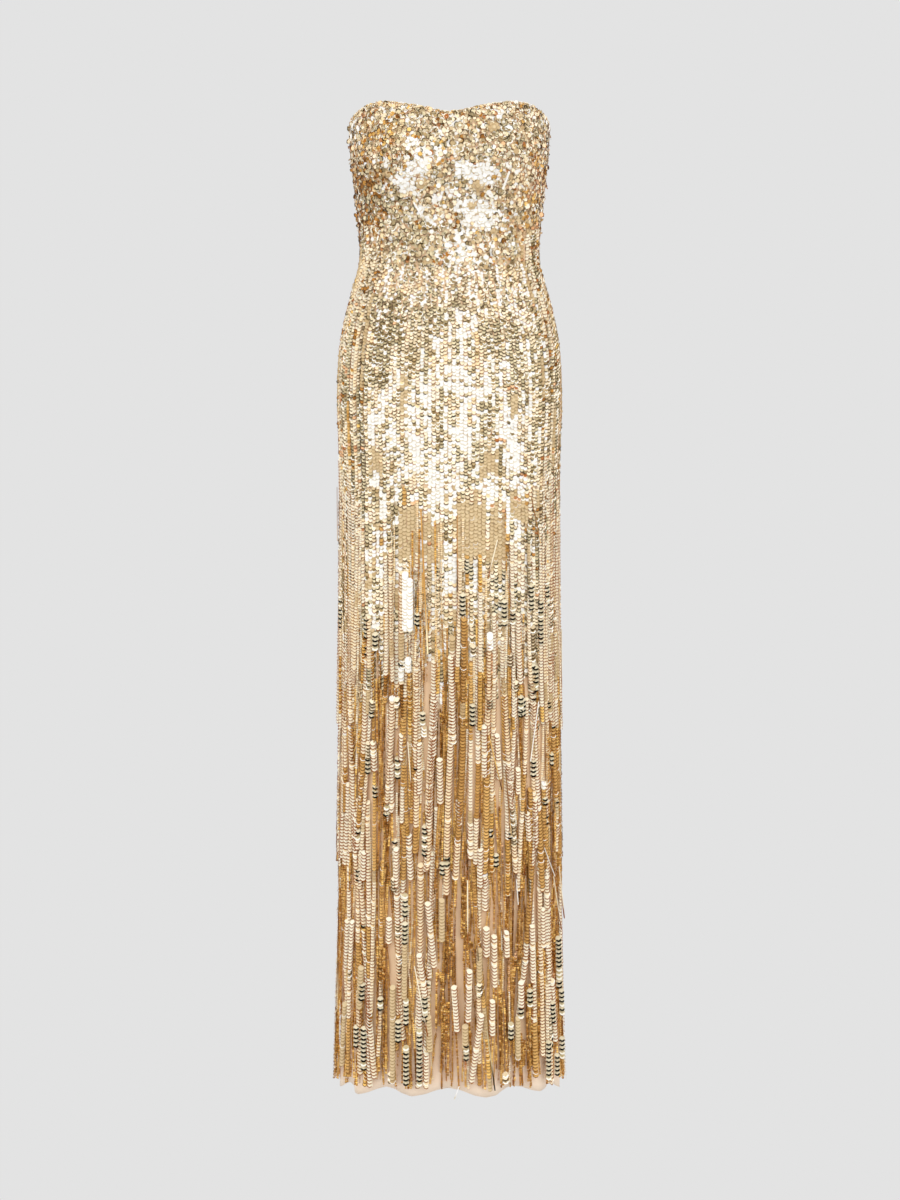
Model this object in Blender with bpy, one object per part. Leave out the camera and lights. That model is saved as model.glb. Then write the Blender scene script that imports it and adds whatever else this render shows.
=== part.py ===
"""Strapless column gown with a sweetheart neckline and a fringed skirt, filled out as if worn.

Units are metres, +Z is up and the wearer faces -Y. The origin is the centre of the bodice at
underarm level, where the wearer's ribs hold the gown. Angles run round the gown from the centre
front (0 degrees) through the side seam at +X (90) to the centre back (180).
"""

import functools
import math
from collections import namedtuple

import bmesh
import bpy
from mathutils import Vector

# Driving dimensions of the cloth.
MM = 0.001
CLOTH_THICKNESS = 1.8 * MM  # net, backing and the sewn ground of sequins
SEAM_GAP = 0.3 * MM
COLUMNS_ROUND = 60  # facets all round, six for each of the ten flutes at the hem
COLUMN_ANGLE = 360.0 / COLUMNS_ROUND

# Cross-sections of the gown's outer face, in mm. A larger squareness fills out the corners.
Section = namedtuple("Section", "height half_width front back squareness")
SECTIONS = (
    Section(35, 138.5, 96, 85, 2.35),
    Section(0, 138.5, 104, 87, 2.35),
    Section(-40, 136.5, 107, 86, 2.35),
    Section(-90, 130.5, 99, 82, 2.30),
    Section(-135, 126.0, 89, 78, 2.25),
    Section(-169, 123.3, 85, 77, 2.20),
    Section(-187, 122.8, 85, 78, 2.20),
    Section(-210, 130.0, 89, 84, 2.20),
    Section(-251, 141.5, 98, 98, 2.20),
    Section(-304, 151.5, 106, 114, 2.20),
    Section(-378, 154.5, 110, 124, 2.20),
    Section(-450, 152.0, 110, 121, 2.20),
    Section(-535, 150.0, 110, 116, 2.20),
    Section(-714, 150.0, 112, 114, 2.20),
    Section(-953, 150.5, 113, 114, 2.20),
    Section(-1106, 150.0, 114, 115, 2.15),
    Section(-1263, 149.0, 115, 117, 2.10),
    Section(-1345, 148.5, 115, 117, 2.10),
)

# Height of the top edge in mm, the same on both sides: sweetheart dip, peak, underarm and back.
EdgePoint = namedtuple("EdgePoint", "angle height")
NECKLINE = (
    EdgePoint(0, 11.5),
    EdgePoint(6, 15.0),
    EdgePoint(12, 19.5),
    EdgePoint(19, 23.0),
    EdgePoint(38, 28.5),
    EdgePoint(47, 27.0),
    EdgePoint(56, 23.5),
    EdgePoint(65, 18.0),
    EdgePoint(77, 10.5),
    EdgePoint(90, 5.0),
    EdgePoint(115, 0.0),
    EdgePoint(145, -4.0),
    EdgePoint(180, -6.0),
)

# The bust cups are two soft swellings of the front panel.
CUP_SPREAD = 73 * MM  # from the centre front to a cup's middle
CUP_HEIGHT = -42 * MM
CUP_DEPTH = 13 * MM
CUP_WIDTH = 46 * MM
CUP_DROP = 42 * MM

# Flutes of the skirt: they start above the lowest tier of fringe and open towards the hem.
FLUTES = 10
FLUTE_PHASE = 18.0  # angle of the first flute's crest
FLUTE_START = -930 * MM
FLUTE_DEPTH = 6.5 * MM
FLUTE_RISE = 1.6
HEM_HEIGHT = -1333 * MM
HEM_DIP = 6 * MM  # how far the hem hangs lower at a flute's crest
HEM_LIFTS = (0, 3, -1, 2, -2, 1, 3, 0, -1, 2)  # mm, one for each flute, so the hem is uneven

# Rows of facets: the first ones spread from the top edge to the level of the cups' middle.
TOP_ROWS = (0.0, 0.3, 0.62)
LEVEL_ROWS = (
    -42, -66, -92, -126, -160, -185, -211, -250, -298, -345, -392, -450,
    -512, -620, -748, -860, -978, -1040, -1100, -1160, -1222, -1280,
)

# Concealed zip in the centre-back seam.
ZIP_TOP_INSET = 4 * MM
ZIP_BOTTOM = -345 * MM
TAPE_HALF_WIDTH = 11 * MM
TAPE_THICKNESS = 0.7 * MM
COIL_HALF_WIDTH = 2.2 * MM
COIL_DEPTH = 1.8 * MM
SLIDER_SIZE = Vector((7.0, 2.0, 11.0)) * MM
SLIDER_DROP = 9 * MM  # from the top edge to the slider's middle
BRIDGE_WIDTH = 1.6 * MM
BRIDGE_BAR = 1.0 * MM
BRIDGE_SPAN = 7.0 * MM
BRIDGE_REACH = 3.3 * MM  # from the slider's face to the outside of the bridge
BRIDGE_SUNK = 0.6 * MM  # how deep the bridge's feet are set into the slider
PIVOT_REACH = 1.2 * MM  # from the slider's face to the pull's axis
PULL_THICKNESS = 1.2 * MM
PULL_LENGTH = 25 * MM
PULL_HALF_WIDTH = 3.2 * MM
PULL_EYE_LENGTH = 5.2 * MM
PULL_EYE_HALF_WIDTH = 1.35 * MM
PULL_TOP = 0.6 * MM  # how far the pull's end bar reaches past the pivot

# Fringe: each tier is a narrow strip round the skirt with one strand on each facet of the wall.
STRIP_GAP = 0.5 * MM
STRIP_HEIGHT = 7 * MM
STRAND_THICKNESS = 2 * MM
STRAND_SHARE = 0.42  # of a facet's width
STRAND_SHARE_SPREAD = 0.12
STRAND_SWAY = 0.10
FringeTier = namedtuple("FringeTier", "name root length unevenness flare flare_power bends")
FRINGE_TIERS = (
    FringeTier("fringe_upper", -512 * MM, 330 * MM, 60 * MM, 3.9 * MM, 1.0, 2),
    FringeTier("fringe_middle", -748 * MM, 320 * MM, 60 * MM, 3.9 * MM, 1.0, 2),
    FringeTier("fringe_lower", -978 * MM, 338 * MM, 14 * MM, 7.6 * MM, 1.6, 3),
)

# Colours, as sRGB hex, with metallic and roughness values.
Finish = namedtuple("Finish", "name colour metallic roughness")
SEQUINNED_NET = Finish("sequinned net", "D9C08F", 0.6, 0.35)
FRINGE_GOLD = Finish("gold sequin fringe", "C49A5A", 0.7, 0.3)
TAPE_NYLON = Finish("nylon zip tape", "D8BE94", 0.0, 0.8)
LACQUERED_METAL = Finish("lacquered zip metal", "C9A66B", 1.0, 0.3)

GOLDEN_SHARE = (math.sqrt(5) - 1) / 2


def clear_scene():
    """Removes every object that the scene holds."""
    for obj in list(bpy.data.objects):
        bpy.data.objects.remove(obj, do_unlink=True)


def linear_colour(hex_colour):
    """Linear RGBA of an sRGB hex colour."""
    channels = [int(hex_colour[i : i + 2], 16) / 255 for i in (0, 2, 4)]
    linear = [c / 12.92 if c <= 0.04045 else ((c + 0.055) / 1.055) ** 2.4 for c in channels]
    return (*linear, 1.0)


def material_of(finish):
    """The finish's material, made once."""
    found = bpy.data.materials.get(finish.name)
    if found:
        return found
    material = bpy.data.materials.new(finish.name)
    material.use_nodes = True
    shader = material.node_tree.nodes["Principled BSDF"]
    shader.inputs["Base Color"].default_value = linear_colour(finish.colour)
    shader.inputs["Metallic"].default_value = finish.metallic
    shader.inputs["Roughness"].default_value = finish.roughness
    return material


def add_object(name, points, faces, finish, smooth=True):
    """A mesh object from points and faces, with its normals facing out."""
    mesh = bpy.data.meshes.new(name)
    mesh.from_pydata([tuple(p) for p in points], [], faces)
    shape = bmesh.new()
    shape.from_mesh(mesh)
    bmesh.ops.recalc_face_normals(shape, faces=shape.faces)
    shape.to_mesh(mesh)
    shape.free()
    mesh.materials.append(material_of(finish))
    if smooth:
        mesh.shade_smooth()
        mesh.set_sharp_from_angle(angle=math.radians(50))
    obj = bpy.data.objects.new(name, mesh)
    bpy.context.scene.collection.objects.link(obj)
    return obj


def uneven(index, channel=0):
    """A fixed share from 0 to 1 that jumps about from one index to the next."""
    return (index * GOLDEN_SHARE + channel * 0.37 + 0.5 * math.sin(index * 1.7 + channel)) % 1.0


def smooth_curve(knots, place):
    """Value at place of the smooth curve through (place, value) knots, level beyond its ends."""
    if place <= knots[0][0]:
        return knots[0][1]
    if place >= knots[-1][0]:
        return knots[-1][1]
    slopes = [(b[1] - a[1]) / (b[0] - a[0]) for a, b in zip(knots, knots[1:])]
    tangents = [slopes[0]]
    for before, after in zip(slopes, slopes[1:]):
        turns = before * after <= 0
        tangents.append(0.0 if turns else 2 * before * after / (before + after))
    tangents.append(slopes[-1])
    index = next(i for i in range(len(slopes)) if place <= knots[i + 1][0])
    (x0, y0), (x1, y1) = knots[index], knots[index + 1]
    width = x1 - x0
    t = (place - x0) / width
    return (
        y0 * (1 + 2 * t) * (1 - t) ** 2
        + tangents[index] * width * t * (1 - t) ** 2
        + y1 * t * t * (3 - 2 * t)
        + tangents[index + 1] * width * t * t * (t - 1)
    )


@functools.lru_cache(maxsize=None)
def section_at(height):
    """The gown's section at a height in metres, between the stated ones."""
    rows = sorted(SECTIONS, key=lambda row: row.height)
    values = [
        smooth_curve([(row.height * MM, row[field]) for row in rows], height)
        for field in range(1, len(Section._fields))
    ]
    return Section(height, values[0] * MM, values[1] * MM, values[2] * MM, values[3])


def folded(angle):
    """An angle brought into 0 to 180 degrees, as both sides of the gown are alike."""
    return abs((angle + 180) % 360 - 180)


def neckline_height(angle):
    """Height of the top edge at an angle."""
    return smooth_curve(NECKLINE, folded(angle)) * MM


def flute_wave(angle):
    """From -1 in a flute's trough to 1 on its crest."""
    return math.cos(math.radians(FLUTES * (angle - FLUTE_PHASE)))


def hem_height(angle):
    """Height of the hem at an angle: lower at the flutes' crests, and uneven from one to the next."""
    spacing = 360 / FLUTES
    place = (angle - FLUTE_PHASE) / spacing
    before = math.floor(place)
    share = place - before
    blend = share * share * (3 - 2 * share)
    lift = (1 - blend) * HEM_LIFTS[before % FLUTES] + blend * HEM_LIFTS[(before + 1) % FLUTES]
    return HEM_HEIGHT + lift * MM - HEM_DIP * flute_wave(angle)


def cup_depth(x, z):
    """How far the cups push the front panel forward at a place."""
    across = (abs(x) - CUP_SPREAD) / CUP_WIDTH
    up = (z - CUP_HEIGHT) / CUP_DROP
    return CUP_DEPTH * math.exp(-(across**2) - up**2)


def outer_point(angle, height):
    """A point of the gown's outer face."""
    section = section_at(height)
    sine = math.sin(math.radians(angle))
    cosine = math.cos(math.radians(angle))
    power = 2 / section.squareness
    x = math.copysign(abs(sine) ** power, sine) * section.half_width
    depth = section.front if cosine > 0 else section.back
    y = -math.copysign(abs(cosine) ** power, cosine) * depth
    if cosine > 0:
        y -= cup_depth(x, height) * cosine
    opened = max(0.0, (FLUTE_START - height) / (FLUTE_START - HEM_HEIGHT)) ** FLUTE_RISE
    swell = FLUTE_DEPTH * opened * flute_wave(angle)
    outward = Vector((x, y, 0)).normalized()
    return Vector((x, y, height)) + outward * swell


def outward_normal(angle, height):
    """Level direction that points straight out of the wall."""
    step = 1.5
    along = outer_point(angle + step, height) - outer_point(angle - step, height)
    return Vector((along.y, -along.x, 0)).normalized()


def row_heights(angle):
    """Heights of the wall's rows of points at an angle, from the top edge to the hem."""
    top = neckline_height(angle)
    first_level = LEVEL_ROWS[0] * MM
    upper = [top + (first_level - top) * share for share in TOP_ROWS]
    return upper + [height * MM for height in LEVEL_ROWS] + [hem_height(angle)]


def panel_column(angle, shift):
    """Outer and inner points of one column of a panel, moved along the wall by shift."""
    outer, inner = [], []
    for height in row_heights(angle):
        normal = outward_normal(angle, height)
        along = Vector((-normal.y, normal.x, 0)) * shift
        point = outer_point(angle, height) + along
        outer.append(point)
        inner.append(point - normal * CLOTH_THICKNESS)
    return outer, inner


def build_panel(name, first_column, last_column):
    """One cloth panel between two seams: a wall of even thickness, parted from its neighbours."""
    columns = []
    for column in range(first_column, last_column + 1):
        shift = 0.0
        if column == first_column:
            shift = SEAM_GAP / 2
        if column == last_column:
            shift = -SEAM_GAP / 2
        columns.append(panel_column(column * COLUMN_ANGLE, shift))
    rows = len(columns[0][0])
    points = [p for outer, inner in columns for p in outer + inner]

    def at(column, row, inside):
        return column * 2 * rows + (rows if inside else 0) + row

    faces = []
    for c in range(len(columns) - 1):
        for r in range(rows - 1):
            for inside in (False, True):
                faces.append(
                    (at(c, r, inside), at(c + 1, r, inside), at(c + 1, r + 1, inside), at(c, r + 1, inside))
                )
        for r in (0, rows - 1):
            faces.append((at(c, r, False), at(c + 1, r, False), at(c + 1, r, True), at(c, r, True)))
    for c in (0, len(columns) - 1):
        for r in range(rows - 1):
            faces.append((at(c, r, False), at(c, r + 1, False), at(c, r + 1, True), at(c, r, True)))
    return add_object(name, points, faces, SEQUINNED_NET)


def facet_point(column, share, height, lift):
    """A point over a facet of the wall: share of the way across it, and lift out from it."""
    start, end = column * COLUMN_ANGLE, (column + 1) * COLUMN_ANGLE
    ground = outer_point(start, height).lerp(outer_point(end, height), share)
    normal = outward_normal(start, height).lerp(outward_normal(end, height), share).normalized()
    return ground + normal * lift


def strand_edges(column, drop_share):
    """Shares of a facet where its strand's two edges lie, drop_share of the way down it."""
    width = STRAND_SHARE + STRAND_SHARE_SPREAD * (uneven(column, 1) - 0.5)
    sway = STRAND_SWAY * math.sin(2.4 * drop_share + 6.0 * uneven(column, 2)) * drop_share
    middle = 0.5 + 0.12 * (uneven(column, 3) - 0.5) + sway
    return middle - width / 2, middle + width / 2


def build_fringe(tier, channel):
    """One tier of fringe: a closed strip round the skirt and a strand from each of its columns."""
    points, faces = [], []

    def add_station(column, share, height, drop):
        """Adds the inner and outer points at one place and gives the inner one's index."""
        lift = STRIP_GAP + tier.flare * (drop / tier.length) ** tier.flare_power
        points.append(facet_point(column, share, height, lift))
        points.append(facet_point(column, share, height, lift + STRAND_THICKNESS))
        return len(points) - 2

    strip = []
    for column in range(COLUMNS_ROUND):
        for share in strand_edges(column + 31 * channel, 0.0):
            top = add_station(column, share, tier.root, 0.0)
            bottom = add_station(column, share, tier.root - STRIP_HEIGHT, 0.0)
            strip.append((top, bottom))
    for index, (top, bottom) in enumerate(strip):
        next_top, next_bottom = strip[(index + 1) % len(strip)]
        faces.append((top, next_top, next_bottom, bottom))
        faces.append((top + 1, next_top + 1, next_bottom + 1, bottom + 1))
        faces.append((top, next_top, next_top + 1, top + 1))
        if index % 2:
            faces.append((bottom, next_bottom, next_bottom + 1, bottom + 1))
    for column in range(COLUMNS_ROUND):
        key = column + 31 * channel
        length = tier.length - tier.unevenness * uneven(key, 4)
        left, right = strip[2 * column][1], strip[2 * column + 1][1]
        for bend in range(1, tier.bends + 1):
            drop = STRIP_HEIGHT + (length - STRIP_HEIGHT) * bend / tier.bends
            shares = strand_edges(key, drop / tier.length)
            new_left, new_right = (
                add_station(column, share, tier.root - drop, drop) for share in shares
            )
            faces.append((left, right, new_right, new_left))
            faces.append((left + 1, right + 1, new_right + 1, new_left + 1))
            faces.append((left, left + 1, new_left + 1, new_left))
            faces.append((right, right + 1, new_right + 1, new_right))
            left, right = new_left, new_right
        faces.append((left, right, right + 1, left + 1))
    return add_object(tier.name, points, faces, FRINGE_GOLD)


def tape_height_rows():
    """Heights of the zip tape's rows: its ends, and the wall's rows between them."""
    top = neckline_height(180) - ZIP_TOP_INSET
    between = [height for height in row_heights(180) if ZIP_BOTTOM < height < top]
    return [top] + between + [ZIP_BOTTOM]


def build_zip_tape():
    """The zip's two tapes and closed coil, as one strip just inside the centre-back seam."""
    back_column = COLUMNS_ROUND // 2
    facet_width = (outer_point(180 - COLUMN_ANGLE, 0) - outer_point(180, 0)).length
    clear = CLOTH_THICKNESS + SEAM_GAP
    profile = (  # place across the seam and depth inside the wall
        (-TAPE_HALF_WIDTH, clear),
        (0.0, clear),
        (TAPE_HALF_WIDTH, clear),
        (TAPE_HALF_WIDTH, clear + TAPE_THICKNESS),
        (COIL_HALF_WIDTH, clear + TAPE_THICKNESS),
        (COIL_HALF_WIDTH * 0.6, clear + COIL_DEPTH),
        (-COIL_HALF_WIDTH * 0.6, clear + COIL_DEPTH),
        (-COIL_HALF_WIDTH, clear + TAPE_THICKNESS),
        (-TAPE_HALF_WIDTH, clear + TAPE_THICKNESS),
    )
    points = []
    for height in tape_height_rows():
        for across, depth in profile:
            column = back_column if across < 0 else back_column - 1
            share = -across / facet_width if across < 0 else 1 - across / facet_width
            points.append(facet_point(column, share, height, -depth))
    size = len(profile)
    rows = len(points) // size
    faces = [tuple(range(size)), tuple(range((rows - 1) * size, rows * size))]
    for row in range(rows - 1):
        for k in range(size):
            a, b = row * size + k, row * size + (k + 1) % size
            faces.append((a, b, b + size, a + size))
    return add_object("zip_tape", points, faces, TAPE_NYLON, smooth=False)


def slider_face():
    """Middle of the slider's outer face, which lies over the closed seam."""
    height = neckline_height(180) - SLIDER_DROP
    half = SLIDER_SIZE.z / 2
    wall = max(outer_point(180, height + step).y for step in (-half, 0, half))
    return Vector((0, wall + SEAM_GAP + SLIDER_SIZE.y, height))


def box_object(name, low, high, finish):
    """A plain box between two corners."""
    corners = [(x, y, z) for x in (low.x, high.x) for y in (low.y, high.y) for z in (low.z, high.z)]
    faces = [(0, 1, 3, 2), (4, 6, 7, 5), (0, 4, 5, 1), (2, 3, 7, 6), (0, 2, 6, 4), (1, 5, 7, 3)]
    return add_object(name, corners, faces, finish, smooth=False)


def build_bridge(face):
    """The slider's bridge: a staple that the pull's eye is threaded on."""
    half = BRIDGE_SPAN / 2
    outside = [(-half, -BRIDGE_SUNK), (-half, BRIDGE_REACH), (half, BRIDGE_REACH), (half, -BRIDGE_SUNK)]
    inner = half - BRIDGE_BAR
    reach = BRIDGE_REACH - BRIDGE_BAR
    inside = [(-inner, -BRIDGE_SUNK), (-inner, reach), (inner, reach), (inner, -BRIDGE_SUNK)]
    points = [
        face + Vector((side * BRIDGE_WIDTH / 2, out, up))
        for side in (-1, 1)
        for up, out in outside + inside
    ]
    faces = []
    for k in range(3):
        faces.append((k, k + 1, k + 5, k + 4))
        faces.append((k + 8, k + 9, k + 13, k + 12))
        faces.append((k, k + 1, k + 9, k + 8))
        faces.append((k + 4, k + 5, k + 13, k + 12))
    faces.append((0, 4, 12, 8))
    faces.append((3, 7, 15, 11))
    return add_object("bridge", points, faces, LACQUERED_METAL, smooth=False)


def build_slider():
    """The closed zip's slider with its bridge."""
    face = slider_face()
    half = Vector((SLIDER_SIZE.x / 2, 0, SLIDER_SIZE.z / 2))
    slider = box_object(
        "zip_slider", face - half - Vector((0, SLIDER_SIZE.y, 0)), face + half, LACQUERED_METAL
    )
    bevel = slider.modifiers.new("eased edges", "BEVEL")
    bevel.width = 0.5 * MM
    bevel.segments = 2
    bridge = build_bridge(face)
    bridge.hide_render = True
    bridge.display_type = "WIRE"
    join = slider.modifiers.new("bridge", "BOOLEAN")
    join.operation = "UNION"
    join.object = bridge
    return slider


def pull_outline(angle):
    """A place on the pull's outer edge, seen square on: across, and down from the pivot."""
    middle = (PULL_LENGTH - PULL_TOP) / 2
    half_length = (PULL_LENGTH + PULL_TOP) / 2
    sine, cosine = math.sin(angle), math.cos(angle)
    along = math.copysign(abs(cosine) ** 0.8, cosine) * half_length
    swelling = 0.78 + 0.22 * (1 + along / half_length) / 2
    across = math.copysign(abs(sine) ** 0.7, sine) * PULL_HALF_WIDTH * swelling
    return across, middle + along


def eye_outline(angle):
    """A place on the edge of the pull's eye: across, and down from the pivot."""
    sine, cosine = math.sin(angle), math.cos(angle)
    along = math.copysign(abs(cosine) ** 0.5, cosine) * PULL_EYE_LENGTH / 2
    across = math.copysign(abs(sine) ** 0.4, sine) * PULL_EYE_HALF_WIDTH
    return across, PULL_TOP + PULL_EYE_LENGTH / 2 + along


def build_pull():
    """The pull tab, hanging from the bridge, with its origin on the axis that it swings on."""
    sides = 24
    points = []
    for outline in (pull_outline, eye_outline):
        for depth in (-PULL_THICKNESS / 2, PULL_THICKNESS / 2):
            for k in range(sides):
                across, down = outline(2 * math.pi * k / sides)
                points.append((across, depth, -down))
    rings = {"outer back": 0, "outer front": sides, "eye back": 2 * sides, "eye front": 3 * sides}
    pairs = (
        ("outer back", "outer front"),
        ("outer front", "eye front"),
        ("eye front", "eye back"),
        ("eye back", "outer back"),
    )
    faces = []
    for first, second in pairs:
        for k in range(sides):
            after = (k + 1) % sides
            a, b = rings[first], rings[second]
            faces.append((a + k, a + after, b + after, b + k))
    pull = add_object("zip_pull", points, faces, LACQUERED_METAL, smooth=False)
    pull.location = slider_face() + Vector((0, PIVOT_REACH, 0))
    return pull


def build_gown():
    """Every piece of the gown."""
    clear_scene()
    quarter = COLUMNS_ROUND // 4
    build_panel("front", -quarter, quarter)
    build_panel("back_left", quarter, 2 * quarter)
    build_panel("back_right", 2 * quarter, 3 * quarter)
    build_zip_tape()
    build_slider()
    build_pull()
    for channel, tier in enumerate(FRINGE_TIERS):
        build_fringe(tier, channel)


build_gown()
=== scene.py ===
"""Looks of the strapless gown: net panels, sequins, beads, fringe and zip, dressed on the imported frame.

Everything is in metres in the frame's own axes: +Z up, the wearer faces -Y and +X is the wearer's left.
A place on the cloth is an angle round the body (0 at centre front, positive towards +X, pi at centre back)
and a height. A share is the same way round as a part of the girth, from -0.5 to 0.5.
"""

import logging
import math
from collections.abc import Callable
from dataclasses import dataclass, field, fields, replace
from enum import Enum
from functools import partial

import bpy
import numpy as np
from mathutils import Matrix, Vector
from mathutils.bvhtree import BVHTree

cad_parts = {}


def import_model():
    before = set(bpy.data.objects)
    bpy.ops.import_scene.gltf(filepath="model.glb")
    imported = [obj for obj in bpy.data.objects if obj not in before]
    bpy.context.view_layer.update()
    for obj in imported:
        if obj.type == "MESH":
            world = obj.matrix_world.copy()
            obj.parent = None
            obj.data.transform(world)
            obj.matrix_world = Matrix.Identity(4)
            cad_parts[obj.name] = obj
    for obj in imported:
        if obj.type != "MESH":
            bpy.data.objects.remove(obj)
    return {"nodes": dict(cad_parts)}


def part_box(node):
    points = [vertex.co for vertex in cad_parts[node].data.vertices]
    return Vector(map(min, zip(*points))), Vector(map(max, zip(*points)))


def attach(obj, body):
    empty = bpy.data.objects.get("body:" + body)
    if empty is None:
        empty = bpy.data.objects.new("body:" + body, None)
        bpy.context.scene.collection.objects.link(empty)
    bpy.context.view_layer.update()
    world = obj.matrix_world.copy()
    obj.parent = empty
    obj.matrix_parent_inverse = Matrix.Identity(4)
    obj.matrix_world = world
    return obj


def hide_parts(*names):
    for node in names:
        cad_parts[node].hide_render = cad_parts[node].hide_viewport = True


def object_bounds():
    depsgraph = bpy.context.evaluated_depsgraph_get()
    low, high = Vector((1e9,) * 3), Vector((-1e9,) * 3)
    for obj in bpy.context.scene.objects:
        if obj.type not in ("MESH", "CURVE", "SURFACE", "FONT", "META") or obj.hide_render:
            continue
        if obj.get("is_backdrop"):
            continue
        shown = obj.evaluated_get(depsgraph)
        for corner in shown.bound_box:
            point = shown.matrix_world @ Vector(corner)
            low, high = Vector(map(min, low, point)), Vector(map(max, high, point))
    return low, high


LOG = logging.getLogger("gown")

Array = np.ndarray
Rng = np.random.Generator
Line = tuple[Array, Array, Array]  # centres with their downward and outward directions
Ends = tuple[float, ...]  # x and z of a string's upper and lower end, in millimetres
Adder = Callable[..., bpy.types.Node]
Piece = bpy.types.Object

MM = 0.001
PANELS = ("front", "back_left", "back_right")
CLOTH_BODY = "gown"

WAIST_BAND = -195 * MM  # where the scattered bodice sequins give way to columns
COLUMN_CHANGE = -505 * MM  # where the hip columns become the looser skirt columns
SEWN_END = -790 * MM  # mean height where the sewn skirt sequins stop
PHOTO_SPAN = 1.68  # real height that the photograph's frame covers at the gown's axis
CAMERA_DISTANCE = 5.0
CAMERA_HEIGHT = -658 * MM
CAMERA_SIDE = 0.7 * MM
HIP_LEVEL = -450 * MM  # where the girth is read that sets how many columns go round
FRONT_LIMIT = 5 * MM  # places whose y is below this belong to the front
SIDE_SHARE = 0.25  # share of the girth where a side seam lies
SIDE_REACH = 0.13  # share on each side of that seam within which discs turn
SIDE_FADE = 0.05  # share over which the turn comes and goes
SIDE_TURN = math.radians(34)  # the most that discs near a side seam turn to the front or back
FULL_TURN = 6.3  # radians, near enough for a random start
BACK_ANGLE = 2  # angle past which a place is near the centre back
UP = np.array([0.0, 0.0, 1.0])

RGBA = {"data_type": "RGBA"}
MULTIPLY = {"operation": "MULTIPLY"}
SOFT_STEP = {"interpolation_type": "SMOOTHSTEP"}


def linear(code: str) -> tuple[float, float, float, float]:
    """Turns an sRGB hex colour into linear light.

    Args:
        code: Six hex digits after a hash sign.

    Returns:
        Red, green, blue and a full alpha.
    """
    values = [int(code[i : i + 2], 16) / 255 for i in (1, 3, 5)]
    red, green, blue = (v / 12.92 if v <= 0.04045 else ((v + 0.055) / 1.055) ** 2.4 for v in values)
    return red, green, blue, 1.0


def set_inputs(node: bpy.types.Node, values: dict | None = None, links: dict | None = None) -> None:
    """Sets a node's plain input values and joins its incoming links.

    Args:
        node: The node.
        values: Input values by socket name or index.
        links: Output sockets to join to inputs, by input name or index.
    """
    for key, value in (values or {}).items():
        node.inputs[key].default_value = value
    for key, socket in (links or {}).items():
        node.id_data.links.new(socket, node.inputs[key])


def add_node(
    tree: bpy.types.NodeTree,
    kind: str,
    settings: dict | None = None,
    values: dict | None = None,
    links: dict | None = None,
) -> bpy.types.Node:
    """Adds one node with its settings, its plain input values and its incoming links.

    Args:
        tree: Node tree that gets the node.
        kind: Blender's type name of the node, without ShaderNode at its start.
        settings: Properties of the node by name.
        values: Input values by socket name or index.
        links: Output sockets to join to inputs, by input name or index.

    Returns:
        The new node.
    """
    node = tree.nodes.new(f"ShaderNode{kind}")
    for name, value in (settings or {}).items():
        setattr(node, name, value)
    set_inputs(node, values, links)
    return node


def new_material(name: str) -> tuple[bpy.types.Material, Adder, bpy.types.Node]:
    """Makes a material with an empty Principled shader.

    Args:
        name: The material's name.

    Returns:
        The material, the function that adds a node to it, and the shader node.
    """
    material = bpy.data.materials.new(name)
    material.use_nodes = True
    return material, partial(add_node, material.node_tree), material.node_tree.nodes["Principled BSDF"]


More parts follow.
